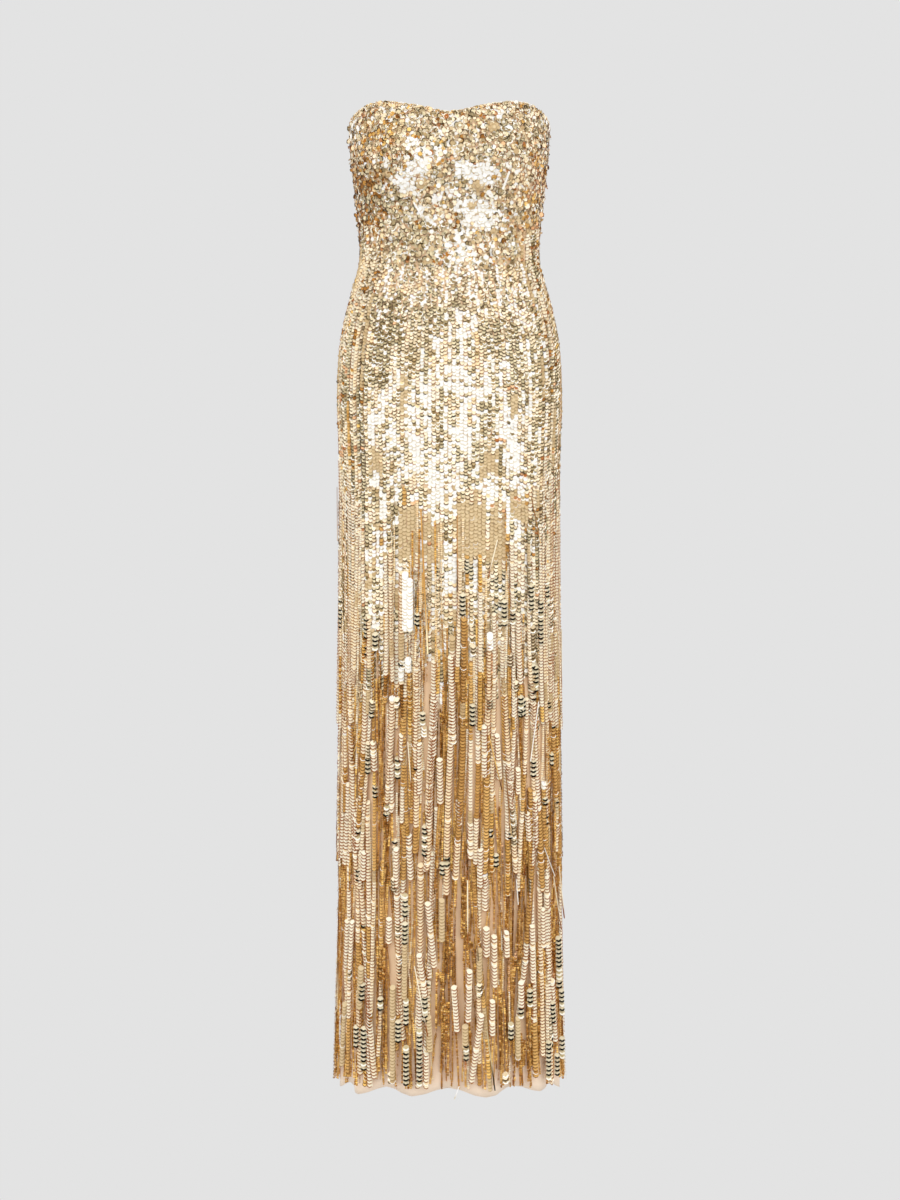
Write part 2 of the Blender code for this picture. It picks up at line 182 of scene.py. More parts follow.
@dataclass(frozen=True)
class SequinFinish:
    """A film that sequins are punched from, with the colours of its tilt and wear painted on its discs.

    Each disc carries a tone from 0 to 1, which mixes the deep colour with the light one, and a glint from
    0 to 1. The lower rim takes the edge colour, painted shade where it turns away from the light. On discs
    whose glint is low enough, the disc is painted darker, as if in shade, and its rim takes a painted
    highlight.
    """

    name: str
    deep: str
    light: str
    # the edge colour is painted shade along a disc's lower rim
    edge: str
    metallic: float
    roughness: float
    coat: float = 0.0
    specular: float = 0.15
    glinting: float = 0.16  # share of discs with a painted highlight on the rim
    # colour of the painted highlight on the rims of glinting discs
    rim_highlight: str = "#FFFDF4"
    painted_rim_start: float = 0.29  # where the painted rim starts, as a part of the disc's width from its middle
    painted_rim_fade: float = 0.08
    shade: float = 0.55  # how much darker, as painted shade, a disc with a painted highlight on its rim is
    grain: float = 6 * MM  # real film buckles over a few millimetres

    def material(self) -> bpy.types.Material:
        """Builds the film's material.

        Returns:
            The material, shared by every sequin of this film.
        """
        material, add, shader = new_material(self.name)
        tone = add("Attribute", {"attribute_name": "tone"})
        glint = add("Attribute", {"attribute_name": "glint"})
        # painted light: discs picked by their glint get a darker body as painted shade and a painted
        # highlight on the rim
        bright = add("Math", {"operation": "LESS_THAN"}, {1: self.glinting}, {0: glint.outputs["Fac"]})
        shaded = add(
            "Math", {"operation": "MULTIPLY_ADD", "use_clamp": True}, {1: -self.shade},
            {0: bright.outputs[0], 2: tone.outputs["Fac"]},
        )
        colour = add("Mix", RGBA, {6: linear(self.deep), 7: linear(self.light)}, {0: shaded.outputs[0]})
        painted_rim_colour = add("Mix", RGBA, {6: linear(self.edge), 7: linear(self.rim_highlight)}, {0: bright.outputs[0]})
        # the crescent takes the painted rim: shade on most discs, a highlight on the picked ones
        edged = add(
            "Mix", RGBA, links={0: self.crescent(add), 6: colour.outputs[2], 7: painted_rim_colour.outputs[2]}
        )
        grain = add("TexNoise", values={"Scale": 1 / self.grain, "Detail": 2.0})
        gloss = add(
            "MapRange", None,
            {"To Min": max(self.roughness - 0.06, 0.02), "To Max": self.roughness + 0.08},
            {"Value": grain.outputs["Fac"]},
        )
        set_inputs(
            shader,
            {"Metallic": self.metallic, "Coat Weight": self.coat, "Specular IOR Level": self.specular},
            {"Base Color": edged.outputs[2], "Roughness": gloss.outputs[0]},
        )
        return material

    def crescent(self, add: Adder) -> bpy.types.NodeSocket:
        """Draws the crescent along a disc's lower rim, where the shade and the highlight are painted.

        Args:
            add: Function that adds a node to the film's material.

        Returns:
            The socket that is 1 on the crescent and 0 off it.
        """
        place = add("UVMap")
        centred = add("VectorMath", {"operation": "SUBTRACT"}, {1: (0.5, 0.5, 0)}, {0: place.outputs[0]})
        radius = add("VectorMath", {"operation": "LENGTH"}, links={0: centred.outputs[0]})
        sides = add("SeparateXYZ", links={0: centred.outputs[0]})
        rim = add(
            "MapRange", SOFT_STEP,
            {"From Min": self.painted_rim_start, "From Max": self.painted_rim_start + self.painted_rim_fade},
            {"Value": radius.outputs["Value"]},
        )
        lower = add(
            "MapRange", SOFT_STEP, {"From Min": -0.04, "From Max": 0.2, "To Min": 0.06, "To Max": 1.0},
            {"Value": sides.outputs["Y"]},
        )
        crescent = add("Math", MULTIPLY, links={0: rim.outputs[0], 1: lower.outputs[0]})
        return crescent.outputs[0]


class Film(Enum):
    """The sequin films on the gown, all of PET punched flat or pressed to a cup, and the stones' glass.

    Some stand in for light: the white film is a painted highlight, and the shade-rimmed, the shaded
    champagne and in part the bronze shade films are painted shade.
    """

    # Near-white film: a painted highlight, standing in for the lamp's reflection in the blown-out patches.
    WHITE_GOLD = SequinFinish(
        "pet_film_white_painted_highlight", "#F6F2EA", "#FFFFFF", "#DDD0B2", 0.1, 0.22, glinting=0.3
    )
    # Vacuum-coated champagne gold: the gown's main soft mirror.
    CHAMPAGNE = SequinFinish(
        "pet_film_champagne_mirror", "#B0966A", "#FCEBCB", "#57401F", 0.65, 0.26, glinting=0.24,
        painted_rim_start=0.26,
    )
    # Cream pearl lacquer over film: bright, hardly metallic, gives the chains of pale discs.
    PEARL = SequinFinish(
        "pet_film_cream_pearl", "#FFE4B0", "#FFF9E2", "#94500F", 0.05, 0.45, glinting=0.04, painted_rim_start=0.3
    )
    # Matt sand lacquer: gives the flat beige fields.
    SAND = SequinFinish(
        "pet_film_matt_sand", "#C8A97A", "#E2CBA2", "#A08050", 0.1, 0.6, glinting=0.05, painted_rim_start=0.35
    )
    # Satin tan lacquer: gives the smooth golden lengths between the bright chains.
    TAN = SequinFinish(
        "pet_film_satin_tan", "#B67F3A", "#EABD74", "#6E4212", 0.15, 0.5, glinting=0.08, painted_rim_start=0.33
    )
    # Vacuum-coated old gold: the warm glitter of the fine strings.
    OLD_GOLD = SequinFinish(
        "pet_film_old_gold", "#B07024", "#FFD37C", "#5F3608", 0.4, 0.34, glinting=0.26, rim_highlight="#FFF0C4",
        painted_rim_start=0.31,
    )
    # Dark bronze film: darker strings, and painted shade between the strings and on the bodice's flanks.
    BRONZE = SequinFinish(
        "pet_film_bronze_painted_shade", "#7A4A18", "#CC9048", "#3A1F06", 0.4, 0.38, glinting=0.16, rim_highlight="#F0CA90"
    )
    # Copper rose film: the orange and rust specks.
    COPPER = SequinFinish(
        "pet_film_copper_rose", "#A8662E", "#F0C496", "#6E3310", 0.6, 0.32, glinting=0.2, rim_highlight="#FFE8CE"
    )
    # Pale film with a nearly black crescent along the rim: its pale body is painted light, as if it faced
    # the lamp, and the crescent is painted shade.
    SMOKE = SequinFinish(
        "pet_film_pale_shade_rimmed", "#C9B78C", "#FFF4D8", "#080502", 0.0, 0.3, specular=0.05, glinting=0.12,
        rim_highlight="#FFFDF0", painted_rim_start=0.17,
    )
    # Darker copy of the champagne film: painted shade on the scallops between the white ones.
    OLIVE = SequinFinish(
        "pet_film_champagne_painted_shade", "#8E764A", "#E9DAB4", "#3A2A0E", 0.4, 0.28, glinting=0.3,
        painted_rim_start=0.24,
    )
    # Clear faceted glass with foil behind it: the stones of the rosettes.
    FOILED_GLASS = SequinFinish(
        "glass_foiled_clear", "#C9BCA0", "#FFFDF6", "#8F7C58", 0.3, 0.08, coat=1.0, specular=0.5
    )

    @property
    def index(self) -> int:
        """The film's slot number on every sequinned mesh."""
        return FILMS.index(self)


FILMS = tuple(Film)
WHITE, CHAMPAGNE, PEARL, SAND, TAN, OLD_GOLD, BRONZE, RUST, SMOKE, OLIVE, GLASS = FILMS
FILM_MATERIALS: list[bpy.types.Material] = []


@dataclass(frozen=True)
class NylonNet:
    """Nude nylon net, warp-knitted: a skin-toned ground with a fine cell, a soft sheen and a hem painted
    paler, as light that shines through a single layer.
    """

    light: str = "#FADCB8"
    deep: str = "#E8BE90"
    # the hem's colour is painted light shining through the single layer of net
    worn_and_backlit: str = "#FFEBD6"
    cell: float = 1.6 * MM  # real net is near 0.8 mm, drawn twice as coarse so that it shows
    cloud: float = 45 * MM  # the layers under the net show through in patches of this size
    pale_end: float = -1.33  # height near the hem where nothing lies behind the net, where the painted light through it is strongest
    pale_start: float = -1.25
    roughness: float = 0.62
    sheen: float = 0.25

    def material(self) -> bpy.types.Material:
        """Builds the net's material.

        Returns:
            The material of the three panels.
        """
        material, add, shader = new_material("nylon_net_nude")
        place = add("UVMap")
        clouds = add(
            "TexNoise", None, {"Scale": 1 / self.cloud, "Detail": 3.0}, {"Vector": place.outputs[0]}
        )
        cells = add(
            "TexVoronoi", {"feature": "DISTANCE_TO_EDGE"}, {"Scale": 1 / self.cell, "Randomness": 0.35},
            {"Vector": place.outputs[0]},
        )
        thread = add(
            "MapRange", None, {"From Max": 0.3, "To Min": 1.0, "To Max": 0.86},
            {"Value": cells.outputs["Distance"]},
        )
        colour = add("Mix", RGBA, {6: linear(self.deep), 7: linear(self.light)}, {0: clouds.outputs["Fac"]})
        level = add("SeparateXYZ", links={0: place.outputs[0]})
        # painted light: paler towards the hem, as light shining through the single layer
        thin = add(
            "MapRange", SOFT_STEP,
            {"From Min": self.pale_end, "From Max": self.pale_start, "To Min": 0.8, "To Max": 0.0},
            {"Value": level.outputs["Y"]},
        )
        paler = add("Mix", RGBA, {7: linear(self.worn_and_backlit)}, {0: thin.outputs[0], 6: colour.outputs[2]})
        woven = add(
            "Mix", {"data_type": "RGBA", "blend_type": "MULTIPLY"}, {0: 1.0},
            {6: paler.outputs[2], 7: thread.outputs[0]},
        )
        bump = add("Bump", None, {"Strength": 0.25, "Distance": 0.2 * MM}, {"Height": thread.outputs[0]})
        set_inputs(
            shader, {"Roughness": self.roughness, "Sheen Weight": self.sheen, "Sheen Roughness": 0.4},
            {"Base Color": woven.outputs[2], "Normal": bump.outputs[0]},
        )
        return material


@dataclass(frozen=True)
class WovenTape:
    """Woven polyester zip tape: a matt twill in the net's colour."""

    deep: str = "#C3A57B"
    base: str = "#D9BC94"
    rib: float = 1.2 * MM  # spacing of the twill's ribs
    repeat: float = 0.63  # the diagonal wave of scale one repeats at this distance
    roughness: float = 0.7

    def material(self) -> bpy.types.Material:
        """Builds the tape's material.

        Returns:
            The material of the tapes and the coil.
        """
        material, add, shader = new_material("polyester_tape_woven")
        place = add("TexCoord")
        ribs = add(
            "TexWave", {"bands_direction": "DIAGONAL"},
            {"Scale": self.repeat / self.rib, "Distortion": 0.5}, {"Vector": place.outputs["Object"]},
        )
        colour = add("Mix", RGBA, {6: linear(self.deep), 7: linear(self.base)}, {0: ribs.outputs["Fac"]})
        bump = add("Bump", None, {"Strength": 0.4, "Distance": 0.2 * MM}, {"Height": ribs.outputs["Fac"]})
        set_inputs(
            shader, {"Roughness": self.roughness},
            {"Base Color": colour.outputs[2], "Normal": bump.outputs[0]},
        )
        return material


@dataclass(frozen=True)
class LacqueredBrass:
    """Die-cast zip metal with a pale gold lacquer: smooth, with faint tumbling marks."""

    base: str = "#CFAE74"
    worn_and_backlit: str = "#E7CF9E"
    mark: float = 1.5 * MM  # size of the marks that tumbling leaves
    smoothest: float = 0.2
    roughest: float = 0.38

    def material(self) -> bpy.types.Material:
        """Builds the metal's material.

        Returns:
            The material of the slider and the pull.
        """
        material, add, shader = new_material("zinc_cast_gold_lacquered")
        place = add("TexCoord")
        marks = add(
            "TexNoise", None, {"Scale": 1 / self.mark, "Detail": 4.0}, {"Vector": place.outputs["Object"]}
        )
        colour = add("Mix", RGBA, {6: linear(self.base), 7: linear(self.worn_and_backlit)}, {0: marks.outputs["Fac"]})
        gloss = add(
            "MapRange", None, {"To Min": self.smoothest, "To Max": self.roughest},
            {"Value": marks.outputs["Fac"]},
        )
        set_inputs(
            shader, {"Metallic": 1.0}, {"Base Color": colour.outputs[2], "Roughness": gloss.outputs[0]}
        )
        return material


@dataclass
class ClothForm:
    """The outer face of the cloth, read from the frame's panels as a radius for each angle and height."""

    panels: list[Piece]
    columns: int = 360
    row: float = 4 * MM
    reach: float = 0.25
    low: float = -1.36
    high: float = 0.045
    soften_round: float = 2.4  # columns over which facets are rounded off
    soften_up: float = 2.5  # rows over which facets are rounded off
    fine_places: int = 721  # places round the body at which the girth is measured
    angles: Array = field(init=False)
    heights: Array = field(init=False)
    radii: Array = field(init=False)
    tops: Array = field(init=False)
    hems: Array = field(init=False)
    shares: Array = field(init=False)
    share_angles: Array = field(init=False)
    girths: Array = field(init=False)

    def __post_init__(self) -> None:
        """Measures the panels once."""
        step = 2 * math.pi / self.columns
        self.angles = -math.pi + step * (np.arange(self.columns) + 0.5)
        self.heights = np.arange(self.low, self.high, self.row)
        trees = [self._tree(panel) for panel in self.panels]
        grid = np.full((self.columns, len(self.heights)), np.nan)
        for i, angle in enumerate(self.angles):
            for j, height in enumerate(self.heights):
                grid[i, j] = self._cast(trees, angle, height)
        self.tops, self.hems = self._edges(trees, grid)
        self.radii = self._softened(self._filled(grid))
        self._measure_shares()

    @staticmethod
    def _tree(node: Piece) -> BVHTree:
        """Returns a search tree of a node's faces."""
        mesh = node.data
        return BVHTree.FromPolygons([v.co for v in mesh.vertices], [p.vertices for p in mesh.polygons])

    def _cast(self, trees: list[BVHTree], angle: float, height: float) -> float:
        """Finds the outer face at one place.

        Args:
            trees: Search trees of the panels.
            angle: Angle round the body.
            height: Height of the ray.

        Returns:
            The radius there, or nan where there is no cloth.
        """
        out = Vector((math.sin(angle), -math.cos(angle), 0))
        start = out * self.reach + Vector((0, 0, height))
        found = [t.ray_cast(start, -out, self.reach * 0.98)[3] for t in trees]
        hits = [self.reach - d for d in found if d is not None]
        return max(hits) if hits else math.nan

    def _edges(self, trees: list[BVHTree], grid: Array) -> tuple[Array, Array]:
        """Finds the top edge and the hem at every angle by halving.

        Args:
            trees: Search trees of the panels.
            grid: Radii with nan where there is no cloth.

        Returns:
            Heights of the top edge and of the hem.
        """
        tops, hems = np.zeros(self.columns), np.zeros(self.columns)
        for i, angle in enumerate(self.angles):
            rows = np.flatnonzero(~np.isnan(grid[i]))
            for inside, step, edges in ((rows[-1], self.row, tops), (rows[0], -self.row, hems)):
                known, beyond = self.heights[inside], self.heights[inside] + step
                for _ in range(6):
                    middle = (known + beyond) / 2
                    if math.isnan(self._cast(trees, angle, middle)):
                        beyond = middle
                    else:
                        known = middle
                edges[i] = known
        return tops, hems

    @staticmethod
    def _filled(grid: Array) -> Array:
        """Carries the first and last known radius of each column on past the cloth's edges.

        Args:
            grid: Radii with nan where there is no cloth.

        Returns:
            Radii everywhere.
        """
        rows = np.arange(grid.shape[1])
        out = grid.copy()
        for column in out:
            known = ~np.isnan(column)
            column[:] = np.interp(rows, rows[known], column[known])
        return out

    @staticmethod
    def _bell(width: float) -> Array:
        """Gives a bell-shaped row of weights.

        Args:
            width: Its width in places.

        Returns:
            Weights that sum to one.
        """
        reach = int(3 * width) + 1
        bell = np.exp(-0.5 * (np.arange(-reach, reach + 1) / width) ** 2)
        return bell / bell.sum()

    def _softened(self, grid: Array) -> Array:
        """Rounds off the facets with a soft average round the body and up it.

        Args:
            grid: Radii as measured.

        Returns:
            Softened radii.
        """
        around, up = self._bell(self.soften_round), self._bell(self.soften_up)
        wide, tall = len(around) // 2, len(up) // 2
        padded = np.concatenate([grid[-wide:], grid, grid[:wide]])
        soft = np.stack([np.convolve(column, around, "valid") for column in padded.T], axis=1)
        padded = np.pad(soft, ((0, 0), (tall, tall)), mode="edge")
        return np.stack([np.convolve(line, up, "valid") for line in padded])

    def _measure_shares(self) -> None:
        """Works out the girth and the angle of each share of it at every height."""
        fine = np.linspace(-math.pi, math.pi, self.fine_places)
        self.shares = np.linspace(-0.5, 0.5, self.fine_places)
        self.share_angles = np.zeros((len(self.shares), len(self.heights)))
        self.girths = np.zeros(len(self.heights))
        for j, height in enumerate(self.heights):
            radius = self.radius(fine, np.full(fine.shape, height))
            x, y = radius * np.sin(fine), -radius * np.cos(fine)
            way = np.concatenate([[0], np.cumsum(np.hypot(np.diff(x), np.diff(y)))])
            front = np.interp(0, fine, way)
            self.girths[j] = way[-1]
            self.share_angles[:, j] = np.interp(self.shares * way[-1] + front, way, fine)

    def radius(self, angle: Array, height: Array) -> Array:
        """Reads the radius of the outer face.

        Args:
            angle: Angles round the body.
            height: Heights, one for each angle.

        Returns:
            Radii at those places.
        """
        turn = (np.asarray(angle) - self.angles[0]) / (2 * math.pi) * self.columns
        i = np.floor(turn).astype(int)
        a = turn - i
        rise = np.clip((np.asarray(height) - self.low) / self.row, 0, len(self.heights) - 1.001)
        j = rise.astype(int)
        b = rise - j
        i0, i1 = i % self.columns, (i + 1) % self.columns
        lower = self.radii[i0, j] * (1 - a) + self.radii[i1, j] * a
        upper = self.radii[i0, j + 1] * (1 - a) + self.radii[i1, j + 1] * a
        return lower * (1 - b) + upper * b

    def point(self, angle: Array, height: Array, lift: Array | float = 0.0) -> Array:
        """Returns points that stand off the cloth by the lift, one for each angle and height."""
        radius = self.radius(angle, height) + lift
        return np.stack([radius * np.sin(angle), -radius * np.cos(angle), np.asarray(height)], axis=-1)

    def normal(self, angle: Array, height: Array) -> Array:
        """Gives the outward direction of the cloth.

        Args:
            angle: Angles round the body.
            height: Heights, one for each angle.

        Returns:
            Unit vectors, one row each.
        """
        turn, rise = math.radians(1.2), 5 * MM
        across = self.point(angle + turn, height) - self.point(angle - turn, height)
        up = self.point(angle, height + rise) - self.point(angle, height - rise)
        return unit(np.cross(across, up))

    def seat(self, angle: Array, height: Array, lift: Array | float) -> Line:
        """Returns places to sew on to: centres with their downward and outward directions."""
        centre, face = self.point(angle, height, lift), self.normal(angle, height)
        return centre, unit(np.cross(face, unit(np.cross(face, UP)))), face

    def angle_at(self, share: Array, height: Array) -> Array:
        """Turns shares of the girth into angles.

        Args:
            share: Shares from -0.5 to 0.5; beyond that they go on round the body.
            height: Heights, one for each share.

        Returns:
            Angles round the body.
        """
        wrapped = (np.asarray(share) + 0.5) % 1.0
        place = np.clip(wrapped * (len(self.shares) - 1), 0, len(self.shares) - 1.001)
        i = place.astype(int)
        a = place - i
        rise = np.clip((np.asarray(height) - self.low) / self.row, 0, len(self.heights) - 1).astype(int)
        return self.share_angles[i, rise] * (1 - a) + self.share_angles[i + 1, rise] * a

    def angle_of(self, x: float, height: float) -> float:
        """Finds a sideways place on the front half.

        Args:
            x: The place.
            height: Its height.

        Returns:
            Its angle round the body.
        """
        trial = np.radians(np.linspace(-89, 89, 179))
        side = self.point(trial, np.full(trial.shape, height))[:, 0]
        return float(np.interp(x, side, trial))

    def girth(self, height: Array) -> Array:
        """Returns the girth at each height."""
        return np.interp(height, self.heights, self.girths)

    def girth_at(self, height: float) -> float:
        """Returns the girth at one height."""
        return float(self.girth(np.array([height]))[0])

    def edge(self, edges: Array, angle: Array) -> Array:
        """Returns the top edge or the hem, whichever is given, at each angle."""
        return np.interp(angle, self.angles, edges, period=2 * math.pi)

    def lobe(self, angle: Array | float) -> Array:
        """Returns how near each angle is to a hanging fold's ridge: 1 on it, -1 in the trough."""
        ridges = (self.hems.mean() - self.hems) / np.ptp(self.hems) * 2
        return np.interp(angle, self.angles, ridges, period=2 * math.pi)


def unit(vectors: Array) -> Array:
    """Returns the vectors at length one."""
    return vectors / np.linalg.norm(vectors, axis=-1, keepdims=True)


def corner_turns(sides: int, shift: float = 0.0) -> list[float]:
    """Returns the angles of a round shape's corners, shifted by a part of a side."""
    return [2 * math.pi * (i + shift) / sides for i in range(sides)]


@dataclass(frozen=True)
class Template:
    """One small shape that is stamped many times. Its axes are down the cloth, across it and out of it."""

    points: tuple[tuple[float, float, float], ...]
    faces: tuple[tuple[int, ...], ...]
    smooth: bool = False

    @staticmethod
    def flat_disc(sides: int) -> "Template":
        """Makes a flat sequin of one face and radius one."""
        turns = corner_turns(sides, 0.5)
        return Template(tuple((math.cos(t), math.sin(t), 0.0) for t in turns), (tuple(range(sides)),))

    @staticmethod
    def cup(sides: int, depth: float) -> "Template":
        """Makes a cupped sequin, sewn with its hollow side out.

        Args:
            sides: Number of sides of the rim.
            depth: How far the middle lies below the rim, as a part of the radius.

        Returns:
            The template, of radius one.
        """
        turns = corner_turns(sides, 0.5)
        rim = tuple((math.cos(t), math.sin(t), depth) for t in turns)
        faces = tuple((sides, i, (i + 1) % sides) for i in range(sides))
        return Template(rim + ((0.0, 0.0, 0.0),), faces, smooth=True)

    @staticmethod
    def bead(sides: int, rings: int) -> "Template":
        """Makes a round bead.

        Args:
            sides: Sides round the bead.
            rings: Rings between its poles.

        Returns:
            The template, of radius one.
        """
        points = [(0.0, 0.0, -1.0)]
        for k in range(1, rings + 1):
            tilt = math.pi * k / (rings + 1)
            points += [
                (math.sin(tilt) * math.cos(t), math.sin(tilt) * math.sin(t), -math.cos(tilt))
                for t in corner_turns(sides)
            ]
        points.append((0.0, 0.0, 1.0))
        faces: list[tuple[int, ...]] = []
        for i in range(sides):
            n = (i + 1) % sides
            faces.append((0, 1 + n, 1 + i))
            for k in range(rings - 1):
                low, high = 1 + k * sides, 1 + (k + 1) * sides
                faces.append((low + i, low + n, high + n, high + i))
            last = 1 + (rings - 1) * sides
            faces.append((last + i, last + n, len(points) - 1))
        return Template(tuple(points), tuple(faces), smooth=True)

    @staticmethod
    def stone(sides: int) -> "Template":
        """Makes a flat-backed faceted stone with a table on top.

        Args:
            sides: Number of facets round it.

        Returns:
            The template, of radius one.
        """
        table, rise = 0.55, 0.5  # radius and height of the table
        girdle = [(math.cos(t), math.sin(t), 0.0) for t in corner_turns(sides)]
        crown = [(table * math.cos(t), table * math.sin(t), rise) for t in corner_turns(sides, 0.5)]
        faces: list[tuple[int, ...]] = [tuple(range(sides, 2 * sides)), tuple(reversed(range(sides)))]
        for i in range(sides):
            n = (i + 1) % sides
            faces.append((i, n, sides + i))
            faces.append((n, sides + n, sides + i))
        return Template(tuple(girdle + crown), tuple(faces))

    @staticmethod
    def rod(sides: int) -> "Template":
        """Makes a stiff thread that lies down the cloth.

        Args:
            sides: Number of sides of the rod.

        Returns:
            The template, two long and of radius one.
        """
        turns = corner_turns(sides, 0.5)
        ends = [(x, math.sin(t), math.cos(t)) for x in (-1.0, 1.0) for t in turns]
        faces: list[tuple[int, ...]] = [tuple(range(sides)), tuple(reversed(range(sides, 2 * sides)))]
        for i in range(sides):
            n = (i + 1) % sides
            faces.append((i, sides + i, sides + n, n))
        return Template(tuple(ends), tuple(faces))


@dataclass
class Stamps:
    """Where a template is stamped: a row for each copy."""

    centre: Array
    down: Array
    face: Array
    size: Array
    film: Array
    tone: Array

    @staticmethod
    def joined(batches: list["Stamps"]) -> "Stamps":
        """Returns several batches as one."""
        return Stamps(*(np.concatenate([getattr(b, f.name) for b in batches]) for f in fields(Stamps)))

    def chosen(self, keep: Array) -> "Stamps":
        """Returns only the rows that keep marks."""
        return Stamps(*(getattr(self, f.name)[keep] for f in fields(self)))

    @property
    def across(self) -> Array:
        """The sideways direction of each copy."""
        return np.cross(self.face, self.down)

    def _parts(self, angle: Array | float) -> tuple[Array, Array]:
        """Returns the cosine and the sine of a turn, one row for each copy."""
        cosine, sine = (np.broadcast_to(f(angle), self.tone.shape)[:, None] for f in (np.cos, np.sin))
        return cosine, sine

    def leaning(self, lean: Array | float) -> "Stamps":
        """Swings each copy by this angle so that its lower edge stands out, as shingles lie."""
        c, s = self._parts(lean)
        return replace(self, down=self.down * c + self.face * s, face=self.face * c - self.down * s)

    def twisted(self, twist: Array | float) -> "Stamps":
        """Turns each copy by this angle about its own downward line."""
        c, s = self._parts(twist)
        return replace(self, face=self.face * c + self.across * s)

    def spun(self, spin: Array | float) -> "Stamps":
        """Turns each copy by this angle in its own plane."""
        c, s = self._parts(spin)
        return replace(self, down=self.down * c + self.across * s)


def placed(mesh: bpy.types.Mesh) -> Piece:
    """Makes an object of a finished mesh, under the mesh's name, and puts it in the scene.

    Args:
        mesh: The mesh.

    Returns:
        The new piece.
    """
    piece = bpy.data.objects.new(mesh.name, mesh)
    bpy.context.scene.collection.objects.link(piece)
    return piece


def stamp(name: str, parts: list[tuple[Template, Stamps]]) -> Piece:
    """Joins stamped copies of templates into one mesh with the film materials.

    Args:
        name: Name of the new piece.
        parts: Templates with the places where they are stamped.

    Returns:
        The new piece.
    """
    points, corners, starts, uvs, films, tones, glints, smooth = [], [], [], [], [], [], [], []
    base = loops = 0
    rng = np.random.default_rng(len(name) + len(parts[0][1].tone))
    for template, places in parts:
        local = np.array(template.points)
        scaled = local[None] * places.size[:, None, :]
        mesh_points = (
            places.centre[:, None]
            + scaled[..., 0:1] * places.down[:, None]
            + scaled[..., 1:2] * places.across[:, None]
            + scaled[..., 2:3] * places.face[:, None]
        )
        count = len(places.tone)
        flat = np.concatenate([np.array(f) for f in template.faces])
        lengths = np.array([len(f) for f in template.faces])
        offsets = base + np.arange(count)[:, None] * len(local)
        points.append(mesh_points.reshape(-1, 3))
        corners.append((offsets + flat[None]).ravel())
        first = np.concatenate([[0], np.cumsum(lengths)[:-1]])
        starts.append((loops + np.arange(count)[:, None] * len(flat) + first[None]).ravel())
        uvs.append(np.tile(local[flat][:, [1, 0]] * 0.5 + 0.5, (count, 1)))
        films.append(np.repeat(places.film, len(lengths)))
        tones.append(np.repeat(places.tone, len(lengths)))
        glints.append(np.repeat(rng.uniform(0, 1, count), len(lengths)))
        smooth.append(np.full(count * len(lengths), template.smooth))
        base += count * len(local)
        loops += count * len(flat)
    mesh = bpy.data.meshes.new(name)
    mesh.vertices.add(base)
    mesh.vertices.foreach_set("co", np.concatenate(points).astype(np.float32).ravel())
    mesh.loops.add(loops)
    mesh.loops.foreach_set("vertex_index", np.concatenate(corners).astype(np.int32))
    start = np.concatenate(starts).astype(np.int32)
    mesh.polygons.add(len(start))
    mesh.polygons.foreach_set("loop_start", start)
    mesh.polygons.foreach_set("material_index", np.concatenate(films).astype(np.int32))
    mesh.polygons.foreach_set("use_smooth", np.concatenate(smooth))
    mesh.update(calc_edges=True)
    layer = mesh.uv_layers.new(name="disc")
    layer.data.foreach_set("uv", np.concatenate(uvs).astype(np.float32).ravel())
    for label, values in (("tone", tones), ("glint", glints)):
        attribute = mesh.attributes.new(label, "FLOAT", "FACE")
        attribute.data.foreach_set("value", np.concatenate(values).astype(np.float32))
    for material in FILM_MATERIALS:
        mesh.materials.append(material)
    return placed(mesh)


def dress(piece: Piece, slot: str, *nodes: str) -> None:
    """Puts a piece on the cloth's body, hides the solids that it stands for and logs it.

    Args:
        piece: The piece.
        slot: Name of the piece's material slot; not used.
        nodes: Names of the solids that it replaces.
    """
    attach(piece, CLOTH_BODY)
    if nodes:
        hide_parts(*nodes)
    corners = np.zeros(len(piece.data.polygons), np.int32)
    piece.data.polygons.foreach_get("loop_total", corners)
    LOG.info("%s: %d triangles", piece.name, int((corners - 2).sum()))


def sewn_halves(name: str, parts: list[tuple[Template, Stamps]]) -> list[Piece]:
    """Makes sewn sequins into a front and a back piece.

    Args:
        name: Name that both pieces start with.
        parts: Templates with the places where they are stamped.

    Returns:
        The two pieces.
    """
    pieces = []
    for side, front in (("front", True), ("back", False)):
        halves = [(t, stamps.chosen((stamps.centre[:, 1] < FRONT_LIMIT) == front)) for t, stamps in parts]
        pieces.append(stamp(f"{name}_{side}", halves))
        dress(pieces[-1], "sequinned_net")
    return pieces


def wobble(rng: Rng, degrees: float, count: int) -> Array:
    """Gives small random turns, spread by this many degrees."""
    return rng.normal(0, math.radians(degrees), count)


def flaps(rng: Rng, share: float, least: float, most: float, count: int) -> Array:
    """Gives the turns of sequins that stand up: none for most, and for a share between two angles."""
    return (rng.uniform(0, 1, count) < share) * rng.uniform(math.radians(least), math.radians(most), count)


@dataclass(frozen=True)
class Patch:
    """A field of one film: a block of columns with ragged ends, in millimetres on the front."""

    x: float
    z: float
    wide: float
    high: float
    film: Film
    share: float = 1.0
    tone: float = 0.8
